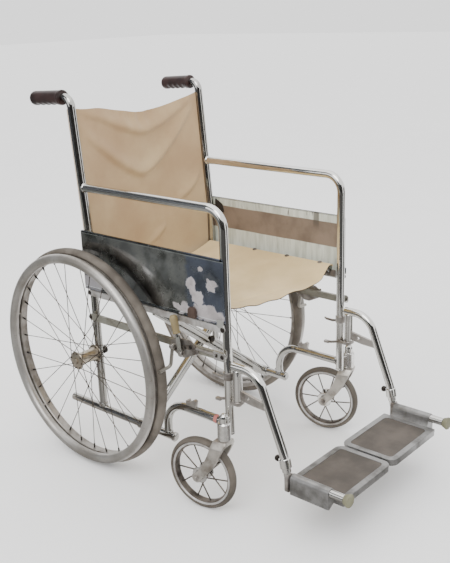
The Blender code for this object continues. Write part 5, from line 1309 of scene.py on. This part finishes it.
def stepped_pin(side, y, z, shoulder, top):
    """A pivot pin out from the bracket: a thick foot, the bearing and a low head."""
    low, foot_r, pin_r = BRACKET_NEAR + 0.001, 0.0062, 0.0034
    outline = [(0, low), (foot_r, low), (foot_r, shoulder), (pin_r, shoulder), (pin_r, top), (foot_r, top),
               (0.0052, top + 0.0025), (0, top + 0.0025)]
    return turned(soft(outline, 0.0004), at(0, y, z), (side, 0, 0), 28)


for label, side in SIDES.items():
    y, z, near = BRAKE_Y, BRAKE_Z, BRACKET_NEAR
    outline = rounded((y + 0.039, z + 0.004, 0.004), (y + 0.039, z + 0.024, 0.006),
                      (y + 0.010, z + 0.036, 0.004), (y - 0.027, z + 0.038, 0.006),
                      (y - 0.052, z + 0.024, 0.005), (y - 0.053, z + 0.010, 0.005),
                      (y - 0.007, z - 0.012, 0.008), (y + 0.009, z - 0.012, 0.008))
    stay = [at(side * (near + 0.003), stay_y, z + 0.022) for stay_y in (y - 0.047, FRONT_Y + 0.017)]
    frame_piece(label, "brake_bracket", STRAP_STEEL, "dark_steel",
                plate([outline], 0.0024, side_view(side * (near + 0.0012))), swept(stay, 0.003, 16),
                stepped_pin(side, y, z, BRAKE_X - 0.0023, BRAKE_X + 0.0023),
                stepped_pin(side, BRAKE_ARM_Y, BRAKE_ARM_Z, BRAKE_X - 0.005, BRAKE_X + 0.005),
                domed_head(side, near + 0.0024, y - 0.040, z + 0.016, 0.005), sharp=30)
    strap = rounded((y + 0.030, z + 0.001, 0.003), (y + 0.030, z + 0.012, 0.003),
                    (y - 0.046, z + 0.032, 0.003), (y - 0.046, z + 0.021, 0.003))
    bolts = [domed_head(side, near + 0.0048, y + a, z + b, radius) for a, b, radius in STRAP_BOLTS]
    strap = plate([strap], 0.0026, side_view(side * (near + 0.0036)))
    frame_piece(label, "bracket_strap", RUSTY_STEEL, "dark_steel", strap, solid="", ease=0.0005)
    frame_piece(label, "bracket_bolts", DARK_STEEL, "dark_steel", *bolts, solid="")
    lever = rounded((y - 0.0085, z - 0.0085, 0.0078), (y + 0.0085, z - 0.0085, 0.0078),
                    (y + 0.0135, z + 0.048, 0.003), (y + 0.0010, z + 0.048, 0.003))
    foot = at(side * BRAKE_X, y + 0.00945, z + 0.0510)
    top = at(side * BRAKE_X, y + 0.0200, z + 0.0965)
    run, length = (top - foot).normalized(), (top - foot).length
    side_piece(label, "brake_lever", label + "_brake_handle", CHROME_BAR, "plain_steel",
               plate([lever, ring(y, z, 0.0037)], 0.0036, side_view(side * BRAKE_X)),
               swept([foot - run * 0.009, foot + run * 0.036], 0.0050), ease=0.0005)
    grip = [(0, length), (0.0062, length - 0.0006), (0.0092, length - 0.0035), (0.0102, length - 0.009),
            (0.0100, length * 0.55), (0.0083, 0.0060), (0.0085, 0.0050), (0.0098, 0.0040),
            (0.0098, 0.0), (0, 0.0)]
    grip = turned(soft(grip, 0.0015), foot, run, 36)
    side_piece(label, "brake_grip", label + "_brake_handle", OLIVE_RUBBER, "olive_rubber", grip)
    reach = WHEEL_R + GAP + 0.0005 + BRAKE_ROD_R
    tip_y = -math.sqrt(reach ** 2 - (BRAKE_TIP_Z - WHEEL_R) ** 2)
    rod = bent((side * BRAKE_X, BRAKE_ARM_Y, BRAKE_ARM_Z),
               (side * BRAKE_X, tip_y - 0.003, BRAKE_TIP_Z + 0.004, 0.010),
               (side * (WHEEL_X + TYRE_WIDE / 2 + 0.004), tip_y, BRAKE_TIP_Z))
    eye = both_ways([(0.0038, 0.001), (0.0038, EYE_HALF), (0.0078, EYE_HALF), (0.0085, EYE_HALF - 0.0008),
                     (0.0085, 0.001)])
    eye = turned(eye, at(side * BRAKE_X, BRAKE_ARM_Y, BRAKE_ARM_Z), (side, 0, 0), 32)
    side_piece(label, "brake_arm", label + "_brake_rod", STEEL, "plain_steel", swept(rod, BRAKE_ROD_R), eye)
print("brakes", len(SIDES))

# %% [markdown]
# ## Small fittings
# A pale end plate closes the middle rail at the front post, a small bracket holds the skirt above it,
# and a brown stop stands where the seat rail comes down beside the skirt.

# %% Rail end, skirt bracket and seat stop
STOP_Y, STOP_Z = -0.380, 0.5035

for label, side in SIDES.items():
    end_x = RAIL_NEAR + MID_THICK
    end_plate = rounded((FRONT_Y + 0.026, MID_Z - 0.010, 0.004), (FRONT_Y + 0.026, MID_Z + 0.012, 0.004),
                        (FRONT_Y - 0.012, MID_Z + 0.012, 0.006), (FRONT_Y - 0.012, MID_Z - 0.010, 0.006))
    bracket = oblong(FRONT_Y + 0.014, 0.484, FRONT_Y - 0.006, 0.503, 0.002)
    end_plate = plate([end_plate], 0.0016, side_view(side * (end_x + 0.0008)))
    bracket = plate([bracket], 0.0024, side_view(side * (RAIL_NEAR + 0.0062)))
    frame_piece(label, "rail_end", BARREL_ALLOY, "chrome_tube", end_plate, bracket, solid="", ease=0.0004)
    heads = [domed_head(side, end_x + 0.0016, FRONT_Y + 0.017, MID_Z + 0.001, 0.0046),
             domed_head(side, end_x + 0.0016, FRONT_Y - 0.001, MID_Z + 0.001, 0.0056)]
    frame_piece(label, "rail_end_bolts", DARK_STEEL, "dark_steel", *heads, solid="")
    stop = rounded((STOP_Y + 0.0120, STOP_Z - 0.014, 0.002), (STOP_Y + 0.0110, STOP_Z + 0.013, 0.009),
                   (STOP_Y - 0.0110, STOP_Z + 0.013, 0.009), (STOP_Y - 0.0120, STOP_Z - 0.014, 0.002))
    stop = plate([stop], 0.0075, side_view(side * (RAIL_NEAR + 0.0078)))
    frame_piece(label, "seat_stop", BROWN_STOP, "grip_vinyl", stop, solid="", ease=0.0012)
print("stops", len(SIDES))

# %% [markdown]
# ## Leg rests and footplates
# A hanger hooks over the swing pin, curves down the shin and holds a sliding extension in a clamp.
# The footplate is one casting: a tray with a raised border round its mat, and a curled hinge along
# the outer edge that turns on the extension's pin. A rubber cap ends the pin.

# %% Hangers and extensions
HANGER_KNEE_Y, HANGER_SHIN_Y, HANGER_SHIN_Z = -0.5627, -0.6345, 0.2005
HANGER_FOOT_Y, HANGER_FOOT_Z = -0.6425, 0.160
FRONT_REACH = 0.815
FLAT_Y = HANGER_FOOT_Y - 0.006
PIN_X, PIN_Z, PIN_R = SIDE_X - 0.0065, 0.144, 0.006
PIN_REAR_Y, PIN_FRONT_Y = FLAT_Y - 0.0065, 0.0155 - FRONT_REACH
HINGE_FRONT_Y = -0.762
SLEEVE_HALF = 0.0432

for label, side in SIDES.items():
    x, body = side * SIDE_X, label + "_leg_rest"
    line = bent((x, SWING_Y + 0.011, HANGER_Z), (x, HANGER_KNEE_Y, HANGER_Z, 0.060),
                (x, HANGER_SHIN_Y, HANGER_SHIN_Z, 0.080), (x, HANGER_FOOT_Y, HANGER_FOOT_Z))
    foot = at(x, HANGER_FOOT_Y, HANGER_FOOT_Z)
    run = Vector((0, HANGER_FOOT_Y - HANGER_SHIN_Y, HANGER_FOOT_Z - HANGER_SHIN_Z)).normalized()
    sleeve = both_ways([(0.0052, 0.001), (0.0052, SLEEVE_HALF), (0.0105, SLEEVE_HALF), (0.0115, 0.0420),
                        (0.0115, 0.001)])
    sleeve = turned(sleeve, at(x, SWING_Y, SLEEVE_LOW_Z + SLEEVE_HALF), (0, 0, 1))
    collar = both_ways([(0.0100, 0.001), (0.0100, 0.012), (0.0132, 0.012), (0.0142, 0.0108), (0.0142, 0.001)])
    collar = turned(collar, foot - run * 0.022, run)
    z, knee = SLEEVE_LOW_Z, SWING_Y - 0.045
    rear, front = SWING_Y - 0.004, HANGER_KNEE_Y - 0.0293
    strap = rounded((rear, z + 0.0375, 0), (rear, z + 0.0135, 0), (knee, z + 0.0075, 0.02),
                    (front, z + 0.0055, 0), (front, z + 0.0215, 0), (knee, z + 0.0295, 0.02))
    hole = ring(SWING_Y - 0.033, z + 0.022, 0.0042)
    side_piece(label, "leg_hanger", body, CHROME, "chrome_tube", swept(line, TUBE_R), sleeve, collar)
    strap = plate([strap, hole], 0.0065, side_view(x))
    side_piece(label, "hanger_strap", body, STRAP_STEEL, "chrome_tube", strap, solid="", ease=0.0007)
    knob_at = foot - run * 0.026 + Vector((0, 0.0125, 0))
    outline = [(0, 0.0150), (0.0050, 0.0146), (0.0072, 0.0124), (0.0078, 0.009), (0.0072, 0.005),
               (0.0040, 0.004), (0.0040, -0.003), (0, -0.003)]
    knob = turned(outline, knob_at, (-side * 0.10, 1, 0.1), 24)
    side_piece(label, "clamp_knob", body, DARK_STEEL, "dark_steel", knob, solid="")
    half, neck, middle = 0.0120, 0.0085, side * (SIDE_X - 0.0005)
    flat = rounded((middle - half, PIN_Z - 0.032, 0.006), (middle + half, PIN_Z - 0.032, 0.006),
                   (middle + half, PIN_Z + 0.004, 0.004), (middle + neck, PIN_Z + 0.012, 0.003),
                   (middle - neck, PIN_Z + 0.012, 0.003), (middle - half, PIN_Z + 0.004, 0.004))
    pin = [at(side * PIN_X, FLAT_Y, PIN_Z), at(side * PIN_X, 0.0035 - FRONT_REACH, PIN_Z)]
    flat = plate([flat], 0.0095, front_view(FLAT_Y))
    side_piece(label, "extension_foot", body, STRAP_STEEL, "chrome_tube", flat, solid="", ease=0.0007)
    rod = swept([foot - run * 0.030, foot + run * 0.018], 0.0088)
    collar = swept([at(side * PIN_X, pin_y + 0.001, PIN_Z) for pin_y in (HINGE_FRONT_Y, PIN_FRONT_Y)], 0.0104)
    side_piece(label, "extension", body, CHROME_BAR, "chrome_tube", rod, swept(pin, PIN_R), collar,
               ease=0.0007)
    length = FRONT_REACH + PIN_FRONT_Y - 0.0005
    cap = [(0, length), (0.0105, length - 0.0001), (0.0150, length - 0.0014), (0.0163, length - 0.0046),
           (0.0154, length - 0.0070), (0.0122, 0.0014), (0.0122, 0.0), (0.0062, 0.0),
           (0.0062, length - 0.003), (0, length - 0.003)]
    cap = turned(cap, at(side * PIN_X, PIN_FRONT_Y - 0.0005, PIN_Z), (0, -1, 0), 40)
    side_piece(label, "end_cap", body, CAP_RUBBER, "pale_rubber", cap, sharp=50)
print("leg rests", len(SIDES))

# %% Footplates
PLATE_IN_X, PLATE_OUT_X = 0.004, PIN_X - 0.0165
PLATE_REAR_Y, PLATE_FRONT_Y = PIN_REAR_Y + 0.023, PIN_FRONT_Y + 0.0145
PLATE_TOP_Z, PLATE_THICK, HINGE_R = PIN_Z - 0.0178, 0.0065, 0.0125
PLATE_BORDER, MAT_DEEP = 0.0150, 0.0012


def tray_outline(inset, corner):
    """The plate's outline, or its mat's when inset, with x counted outward."""
    rear, front = PLATE_REAR_Y - inset, PLATE_FRONT_Y + inset
    inner, outer = PLATE_IN_X + inset, PLATE_OUT_X - inset * 1.15
    tight = 0.004 if inset < 0.006 else 0.012
    return rounded((inner, rear, corner), (outer, rear, tight), (outer, front, tight), (inner, front, corner))


for label, side in SIDES.items():
    body, flip = label + "_plate", lambda outline: [(side * a, b) for a, b in outline]
    below = plate([flip(tray_outline(0, 0.020))], PLATE_THICK - MAT_DEEP,
                  top_view(PLATE_TOP_Z - MAT_DEEP / 2 - PLATE_THICK / 2))
    border = plate([flip(tray_outline(0.0004, 0.020)), flip(tray_outline(PLATE_BORDER, 0.010))], MAT_DEEP,
                   top_view(PLATE_TOP_Z - MAT_DEEP / 2))
    middle_z = PLATE_TOP_Z - PLATE_THICK / 2
    curl = [(PIN_X + HINGE_R * math.cos(t), PIN_Z + HINGE_R * math.sin(t)) for t in
            (math.radians(9 * k) for k in range(21))]
    curl += [(PLATE_OUT_X + 0.0025, PLATE_TOP_Z + 0.0078), (PLATE_OUT_X - 0.0025, PLATE_TOP_Z - 0.0008),
             (PLATE_OUT_X - 0.0050, middle_z - 0.002), (PIN_X + HINGE_R - 0.005, PIN_Z - 0.039),
             (PIN_X + HINGE_R, PIN_Z - 0.037)]
    rear = PIN_REAR_Y - 0.0005
    hinge = plate([flip(curl)], rear - HINGE_FRONT_Y, front_view((rear + HINGE_FRONT_Y) / 2))
    lip = plate([flip(tray_outline(0.0006, 0.020)), flip(tray_outline(0.0050, 0.016))], 0.0105,
                top_view(PLATE_TOP_Z - PLATE_THICK - 0.0050))
    side_piece(label, "footplate", body, PLATE_ALLOY, "cast_alloy", below, border, hinge, lip,
               ease=0.0009, sharp=30)
    mat = plate([flip(tray_outline(PLATE_BORDER + 0.0006, 0.010))], 0.0007,
                top_view(PLATE_TOP_Z - MAT_DEEP + 0.0003))
    side_piece(label, "footplate_mat", body, MAT_RUBBER, "cast_alloy", mat, solid="")
    ribs = []
    for k in range(1, 4):
        y = PLATE_REAR_Y + (PLATE_FRONT_Y - PLATE_REAR_Y) * k / 4
        inner, outer = PLATE_IN_X + 0.010, PLATE_OUT_X - 0.004
        strip = [(inner, y - 0.0015), (outer, y - 0.0015), (outer, y + 0.0015), (inner, y + 0.0015)]
        ribs.append(plate([flip(strip)], 0.005, top_view(PLATE_TOP_Z - PLATE_THICK - 0.0024)))
    side_piece(label, "footplate_ribs", body, PLATE_ALLOY, "cast_alloy", *ribs, solid="", ease=0.0006)
print("footplate", round(PLATE_OUT_X - PLATE_IN_X, 3), "by", round(PLATE_REAR_Y - PLATE_FRONT_Y, 3))

# %% Latch levers
for label, side in SIDES.items():
    x, z = side * SIDE_X, SLEEVE_LOW_Z + 0.0045
    tail = bent((x - side * 0.0152, SWING_Y - 0.002, z),
                (x - side * 0.0168, FRONT_Y - 0.002, z - 0.001, 0.03),
                (x - side * 0.0110, FRONT_Y + 0.020, z - 0.009, 0.02),
                (x - side * 0.0060, FRONT_Y + 0.047, z - 0.016))
    eye = both_ways([(0.0118, 0.001), (0.0118, 0.003), (0.0150, 0.003), (0.0157, 0.0022), (0.0157, 0.001)])
    thumb = rounded((x - side * 0.0115, FRONT_Y + 0.048, 0.002), (x - side * 0.0010, FRONT_Y + 0.048, 0.002),
                    (x - side * 0.0020, FRONT_Y + 0.032, 0), (x - side * 0.0115, FRONT_Y + 0.032, 0))
    eye = turned(eye, at(x, SWING_Y, z), (0, 0, 1), 36)
    thumb = plate([thumb], 0.0060, top_view(z - 0.0135))
    side_piece(label, "latch_lever", label + "_latch", STRAP_STEEL, "plain_steel", eye,
               swept(tail, 0.0036, 16), thumb, ease=0.0005)
print("latch levers", len(SIDES))

# %% [markdown]
# ## Canvas slings
# Both slings are one layer of heavy canvas. Each is a grid of points with a rule for its height: a
# sag between its rails and a few named creases, each a line with a width and a depth. A thickness is
# then given to the grid, and its UV map is laid out in metres for the weave. The parts that go
# round the tubes are pieces of their own, so that they stay on the tubes when the chair folds.

# %% Cloth from rows of points
CLOTH = 0.0018


def cloth(name, finish, rows, thick=CLOTH, edging=None):
    """A closed sheet from rows of points on its under side. Its edge may have a finish of its own."""
    tall, wide = len(rows), len(rows[0])
    mesh = bpy.data.meshes.new(name)
    work = bmesh.new()
    chart = work.loops.layers.uv.new("metres")
    flat = {}

    def grid_normal(j, i):
        across_step = rows[j][min(i + 1, wide - 1)] - rows[j][max(i - 1, 0)]
        down_step = rows[min(j + 1, tall - 1)][i] - rows[max(j - 1, 0)][i]
        return across_step.cross(down_step).normalized()

    layers = []
    for lift in (0.0, thick):
        layer = []
        for j in range(tall):
            run = 0.0
            row = []
            for i in range(wide):
                run += (rows[j][i] - rows[j][i - 1]).length if i else 0.0
                knot = work.verts.new(rows[j][i] + grid_normal(j, i) * lift)
                flat[knot] = (run, (rows[j][0] - rows[0][0]).length)
                row.append(knot)
            layer.append(row)
        layers.append(layer)
    under, over = layers
    for j in range(tall - 1):
        for i in range(wide - 1):
            work.faces.new((over[j][i], over[j][i + 1], over[j + 1][i + 1], over[j + 1][i]))
            work.faces.new((under[j][i], under[j + 1][i], under[j + 1][i + 1], under[j][i + 1]))
    edge = [(0, i) for i in range(wide)] + [(j, wide - 1) for j in range(1, tall)]
    edge += [(tall - 1, i) for i in range(wide - 2, -1, -1)] + [(j, 0) for j in range(tall - 2, 0, -1)]
    for (j, i), (m, n) in zip(edge, edge[1:] + edge[:1]):
        hem = work.faces.new((under[j][i], under[m][n], over[m][n], over[j][i]))
        hem.material_index = 1 if edging else 0
    for face in work.faces:
        for loop in face.loops:
            loop[chart].uv = flat[loop.vert]
    bmesh.ops.recalc_face_normals(work, faces=work.faces)
    work.to_mesh(mesh)
    work.free()
    mesh.materials.append(finish)
    if edging:
        mesh.materials.append(edging)
    mesh.shade_smooth()
    mesh.set_sharp_from_angle(angle=math.radians(55))
    made = bpy.data.objects.new(name, mesh)
    bpy.context.scene.collection.objects.link(made)
    MADE.append(name)
    return made


def flat_size(rows):
    """The width and length that the sheet was cut to."""
    widths = [sum((b - a).length for a, b in zip(row, row[1:])) for row in rows]
    columns = list(zip(*rows))
    lengths = [sum((b - a).length for a, b in zip(line, line[1:])) for line in columns]
    return sum(widths) / len(widths), sum(lengths) / len(lengths)


def crease(u, v, start, end, droop, width, deep, peak=0.5):
    """A fold that hangs between two points, lowest at its peak share: how far it pushes the cloth."""
    share = (u - start[0]) / (end[0] - start[0])
    if not 0 < share < 1:
        return 0.0
    reach = (share - peak) / (peak if share < peak else 1 - peak)
    line = start[1] + (end[1] - start[1]) * share - droop * (1 - (reach * reach + 0.016) ** 0.62)
    gap = (v - line) / width
    gap = gap * 2.2 if gap < 0 else gap
    return deep * math.exp(-gap * gap) * math.sin(math.pi * share) ** 0.5


# %% Back sling
BACK_LOW_Z, BACK_TOP_Z, BACK_DIP, BACK_SAG = 0.474, 0.958, 0.026, 0.018
BACK_EDGE_X = SIDE_X - TUBE_R - 0.0024
BACK_CREASES = (
    ((-0.99, 0.995), (0.99, 1.0), 0.118, 0.048, -0.0115, 0.51),
    ((-0.99, 0.885), (0.97, 0.96), 0.305, 0.055, -0.0120, 0.49),
    ((0.50, 0.40), (0.99, 0.55), 0.03, 0.035, -0.0070, 0.5),
    ((-0.06, 0.18), (0.28, 0.265), 0.01, 0.030, -0.0050, 0.5),
    ((-0.97, 0.36), (-0.2, 0.18), 0.05, 0.050, -0.0022, 0.5),
)


def back_point(u, v):
    """A point of the back: u from -1 to 1 across, v from 0 at the bottom to 1 at the top."""
    fall = 1 - u * u
    dip = BACK_DIP * (fall + 0.20 * math.sin(3.6 * u + 0.6) * fall)
    dip -= 0.0050 * math.exp(-((u + 0.66) / 0.20) ** 2) - 0.0035 * math.exp(-((u + 0.02) / 0.16) ** 2)
    z = BACK_LOW_Z + (BACK_TOP_Z - dip - BACK_LOW_Z) * v
    slack = BACK_SAG * fall * (0.55 + 0.45 * math.sin(math.pi * min(1.0, v * 1.1)))
    folds = sum(crease(u, v, *fold) for fold in BACK_CREASES) * min(1.0, (1 - abs(u)) * 6)
    top = max(0.0, (v - 0.84) / 0.16)
    pucker = 0.0030 * math.sin(38 * (u + 0.05)) * top * math.exp(-((u + 0.03) / 0.20) ** 2)
    cockle = 0.0016 * noise.noise(Vector((u * 2.6, v * 3.4, 4.2))) * fall
    return at(BACK_EDGE_X * u, post_y(z) + 0.0029 + slack + folds + pucker + cockle, z)


ACROSS, TALL = 110, 130
back_rows = [[back_point(-1 + 2 * i / ACROSS, j / TALL) for i in range(ACROSS + 1)] for j in range(TALL + 1)]
back = cloth("back_sling", BACK_CANVAS, back_rows)
print("back sling cut", [round(s, 3) for s in flat_size(back_rows)])

# %% [markdown]
# ## Sleeves round the tubes
# The back's edge goes round behind each post and is held there, and the seat's edges go over their
# rails. A sleeve is an arc of canvas that rides with its tube.


# %% Sleeves and seams of the back, with dark cords that are also painted shade lines
SLEEVE_R = TUBE_R + 0.0004
SLEEVE_ROWS, SLEEVE_STEPS, CORD_AND_SHADE_STEPS = 60, 14, 30


def back_sleeve(side):
    rows = []
    for j in range(SLEEVE_ROWS + 1):
        z = BACK_LOW_Z + (BACK_TOP_Z - BACK_LOW_Z) * j / SLEEVE_ROWS
        row = []
        for k in range(SLEEVE_STEPS + 1):
            turn = math.radians(-55 - 110 * k / SLEEVE_STEPS)
            x = SIDE_X + SLEEVE_R * math.cos(turn)
            row.append(at(side * x, post_y(z) - SLEEVE_R * math.sin(turn), z))
        rows.append(row if side > 0 else row[::-1])
    return rows


for label, side in SIDES.items():
    sleeve = cloth(label + "_back_sleeve", HEM_CANVAS, back_sleeve(side))
    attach(sleeve, frame_body(label))
    # A dark cord down the back's edge by each post: a seam cord that also stands for the shade line between
    # canvas and post.
    cord_and_shade = []
    for k in range(CORD_AND_SHADE_STEPS + 1):
        z = BACK_LOW_Z + (BACK_TOP_Z - BACK_LOW_Z) * (0.01 + 0.97 * k / CORD_AND_SHADE_STEPS)
        cord_and_shade.append(at(side * (BACK_EDGE_X + 0.0030), post_y(z) - 0.0030, z))
    cord_and_shade = swept(cord_and_shade, 0.0011, 10)
    frame_piece(label, "back_cord_and_shade", CORD_AND_SHADE_LINE, "canvas", cord_and_shade, solid="")
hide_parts("back_sling")
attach(back, "frame_right")
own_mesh(back)

# %% Seat sling
SEAT_SAG = 0.036
SEAT_REAR_Y, SEAT_FRONT_Y = SEAT_RAIL_REAR_Y + 0.003, SEAT_RAIL_FRONT_Y - 0.002
SEAT_LEAVE = math.radians(62)
SEAT_EDGE_X = SEAT_RAIL_X - SLEEVE_R * math.cos(SEAT_LEAVE)
SEAT_EDGE_Z = SEAT_RAIL_Z + SLEEVE_R * math.sin(SEAT_LEAVE)
SEAT_CREASES = (
    ((-0.9, 0.30), (0.1, 0.62), 0.06, 0.050, 0.0022),
    ((-0.2, 0.80), (0.8, 0.60), 0.05, 0.060, 0.0024),
    ((-0.7, 0.88), (0.4, 0.93), 0.04, 0.030, 0.0026),
    ((0.1, 0.20), (0.9, 0.34), 0.04, 0.050, 0.0016),
)
SEAT_DROOP, DROOP_U, DROOP_WIDE = 0.020, 0.75, 0.32


def seat_point(u, v):
    """A point of the seat: u from -1 to 1 across, v from 0 at the rear to 1 at the front edge."""
    fall = 1 - u * u
    ripple = 0.0018 * math.sin(3 * math.pi * v + 2 * abs(u)) * fall * (1 - fall) * 4
    edge = 0.0022 * v ** 8 * math.sin(15 * u + 1.2) * fall
    folds = sum(crease(u, v, *fold) for fold in SEAT_CREASES)
    cockle = 0.0020 * noise.noise(Vector((u * 3.1, v * 3.3, 1.7))) * fall
    droop = SEAT_DROOP * math.exp(-((u - DROOP_U) / DROOP_WIDE) ** 2) * v ** 10 * min(1.0, (1 - u) * 6)
    sag = SEAT_SAG * (0.84 + 0.16 * v) * fall + ripple + edge + folds + cockle + droop
    back_in = 0.012 * math.exp(-((u + 0.35) / 0.5) ** 2) * fall * v ** 3
    back_in += 0.0014 * math.sin(13 * u) * fall * v ** 6
    y = SEAT_REAR_Y + (SEAT_FRONT_Y - SEAT_REAR_Y) * v + back_in
    return at(SEAT_EDGE_X * u, y, SEAT_EDGE_Z - sag)


DEEP, SEAT_SLEEVE_ROWS = 110, 40
SCREW_SHARES, SCREW_TURN = (0.13, 0.40, 0.665, 0.92), math.radians(100)
seat_rows = [[seat_point(1 - 2 * i / ACROSS, j / DEEP) for i in range(ACROSS + 1)] for j in range(DEEP + 1)]
# The seat's edge faces take the dark brown finish: a painted shade line along its hems.
seat = cloth("seat_sling", SEAT_CANVAS, seat_rows, 0.0024, CORD_AND_SHADE_LINE)


def seat_sleeve(side):
    rows = []
    first = math.radians(22)
    for j in range(SEAT_SLEEVE_ROWS + 1):
        y = SEAT_REAR_Y + (SEAT_FRONT_Y - SEAT_REAR_Y) * j / SEAT_SLEEVE_ROWS
        row = []
        for k in range(SLEEVE_STEPS + 1):
            turn = first + (math.pi - SEAT_LEAVE - first) * k / SLEEVE_STEPS
            x, z = SEAT_RAIL_X + SLEEVE_R * math.cos(turn), SEAT_RAIL_Z + SLEEVE_R * math.sin(turn)
            row.append(at(side * x, y, z))
        rows.append(row if side > 0 else row[::-1])
    return rows


for label, side in SIDES.items():
    body = "brace_leg_b" if label == "left" else "brace_leg_a"
    sleeve = cloth(label + "_seat_sleeve", SEAT_CANVAS, seat_sleeve(side))
    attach(sleeve, body)
    screws = []
    for share in SCREW_SHARES:
        lift = Vector((side * math.cos(SCREW_TURN), 0, math.sin(SCREW_TURN)))
        spot = at(side * SEAT_RAIL_X, SEAT_REAR_Y + (SEAT_FRONT_Y - SEAT_REAR_Y) * share, SEAT_RAIL_Z)
        head = [(0, 0.0030), (0.0040, 0.0025), (0.0064, 0.0006), (0.0066, -0.0012), (0, -0.0012)]
        screws.append(turned(head, spot + lift * (SLEEVE_R + CLOTH), lift, 24))
    piece(label + "_seat_screws", body, RUSTY_STEEL, *screws, slot="dark_steel")
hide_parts("seat_sling")
at(-SEAT_EDGE_X, -0.2, SEAT_RAIL_Z)
at(SEAT_EDGE_X, -0.2, SEAT_RAIL_Z)
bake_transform(seat)
print("seat sling cut", [round(s, 3) for s in flat_size(seat_rows)])

# %% [markdown]
# ## The studio
# Chrome has no colour of its own: it shows the room. A product photographer stands the chair on a
# pale floor under large soft lights, and lays and stands grey and dark cards round it. The polished
# tubes carry them as the dark lines that give them their shape. They are seen only in reflections.


# %% Floor, cards and lights
def stage_mesh(name, points, faces, colour, cloud=None):
    mesh = bpy.data.meshes.new(name)
    mesh.from_pydata([tuple(p) for p in points], [], faces)
    shade = Shade(name + "_finish")
    if cloud:
        mottled = shade.mix(shade.noise(1.1, 4).between(0.42, 0.62), colour, cloud)
    else:
        mottled = shade.mix(shade.noise(3, 2) * 0.04, colour, paint(120, 120, 120))
    mesh.materials.append(shade.surface(mottled, 0.8))
    made = bpy.data.objects.new(name, mesh)
    bpy.context.scene.collection.objects.link(made)
    return made


FLOOR_HALF, FLOOR_Z = 30.0, CAD_BOX[0].z - 0.0005
corners = [(x * FLOOR_HALF, y * FLOOR_HALF, FLOOR_Z) for x, y in ((-1, -1), (1, -1), (1, 1), (-1, 1))]
stage_mesh("floor", corners, [(0, 1, 2, 3)], paint(250, 250, 250))


def card(name, inner, outer, low, high, start, end, colour, cloud):
    """Part of a ring of card round the camera's side, seen only in reflections."""
    points, faces = [], []
    steps = 24
    for k in range(steps + 1):
        turn = math.radians(start + (end - start) * k / steps)
        heading = Vector((math.sin(turn), -math.cos(turn), 0))
        points += [heading * inner + Vector((0, 0, low)), heading * outer + Vector((0, 0, high))]
    for k in range(steps):
        faces.append((2 * k, 2 * k + 1, 2 * k + 3, 2 * k + 2))
    made = stage_mesh(name, points, faces, colour, cloud=cloud)
    made.visible_camera = False
    made.visible_diffuse = False
    made.visible_shadow = False
    return made


NEAR_CARD_R, CARD_R, CARD_Z, WALL_TOP_Z = 1.15, 5.0, 0.002, 4.2
WARM_GREY, COOL_GREY = (paint(64, 62, 60), paint(46, 44, 42)), (paint(50, 51, 54), paint(92, 95, 100))
card("near_card", 0.34, NEAR_CARD_R, CARD_Z, CARD_Z, -178, 25, paint(160, 158, 155), paint(104, 102, 99))
card("slate_card", NEAR_CARD_R, CARD_R, CARD_Z, CARD_Z, -178, -100, paint(62, 63, 60), paint(128, 129, 125))
card("dark_card", NEAR_CARD_R, CARD_R, CARD_Z, CARD_Z, -100, 2, paint(30, 29, 29), paint(50, 48, 46))
card("side_card", NEAR_CARD_R, CARD_R, CARD_Z, CARD_Z, 14, 58, *WARM_GREY)
card("wall_card", CARD_R, CARD_R, 0.0, WALL_TOP_Z, -178, -100, *COOL_GREY)
card("camera_card", CARD_R, CARD_R, 0.0, 3.0, -100, -6, paint(28, 27, 27), paint(46, 44, 42))
card("end_card", CARD_R, CARD_R, 0.0, 1.6, 14, 58, *WARM_GREY)
card("high_card", 2.7, CARD_R, WALL_TOP_Z, WALL_TOP_Z, -182, -100, *COOL_GREY)


LIT_AT, SUN_FROM = Vector((0, 0, 0.4)), Vector((-0.577, -0.27, 0.77))


def soft_light(name, place, size, power, colour=(1.0, 1.0, 1.0)):
    """A large soft light that faces the middle of the chair."""
    data = bpy.data.lights.new(name, "AREA")
    data.shape = "RECTANGLE"
    data.size, data.size_y = size
    data.energy = power
    data.color = colour
    light = bpy.data.objects.new(name, data)
    aim = (LIT_AT - Vector(place)).to_track_quat("-Z", "Y").to_matrix().to_4x4()
    light.matrix_world = Matrix.Translation(place) @ aim
    bpy.context.scene.collection.objects.link(light)
    return light


soft_light("top_light", (0.3, 0.4, 3.6), (4.0, 4.0), 36, (1.0, 0.99, 0.97))
soft_light("left_light", (-3.2, 1.0, 1.9), (2.4, 2.0), 22)
sun_data = bpy.data.lights.new("key_light", "SUN")
sun_data.energy = 1.25
sun_data.angle = math.radians(35)
sun = bpy.data.objects.new("key_light", sun_data)
sun.rotation_euler = SUN_FROM.to_track_quat("Z", "Y").to_euler()
bpy.context.scene.collection.objects.link(sun)

world = bpy.data.worlds.new("studio")
world.use_nodes = True
world.node_tree.nodes["Background"].inputs["Color"].default_value = (1.0, 1.0, 1.0, 1.0)
world.node_tree.nodes["Background"].inputs["Strength"].default_value = 1.6
bpy.context.scene.world = world
print("pieces made", len(MADE))
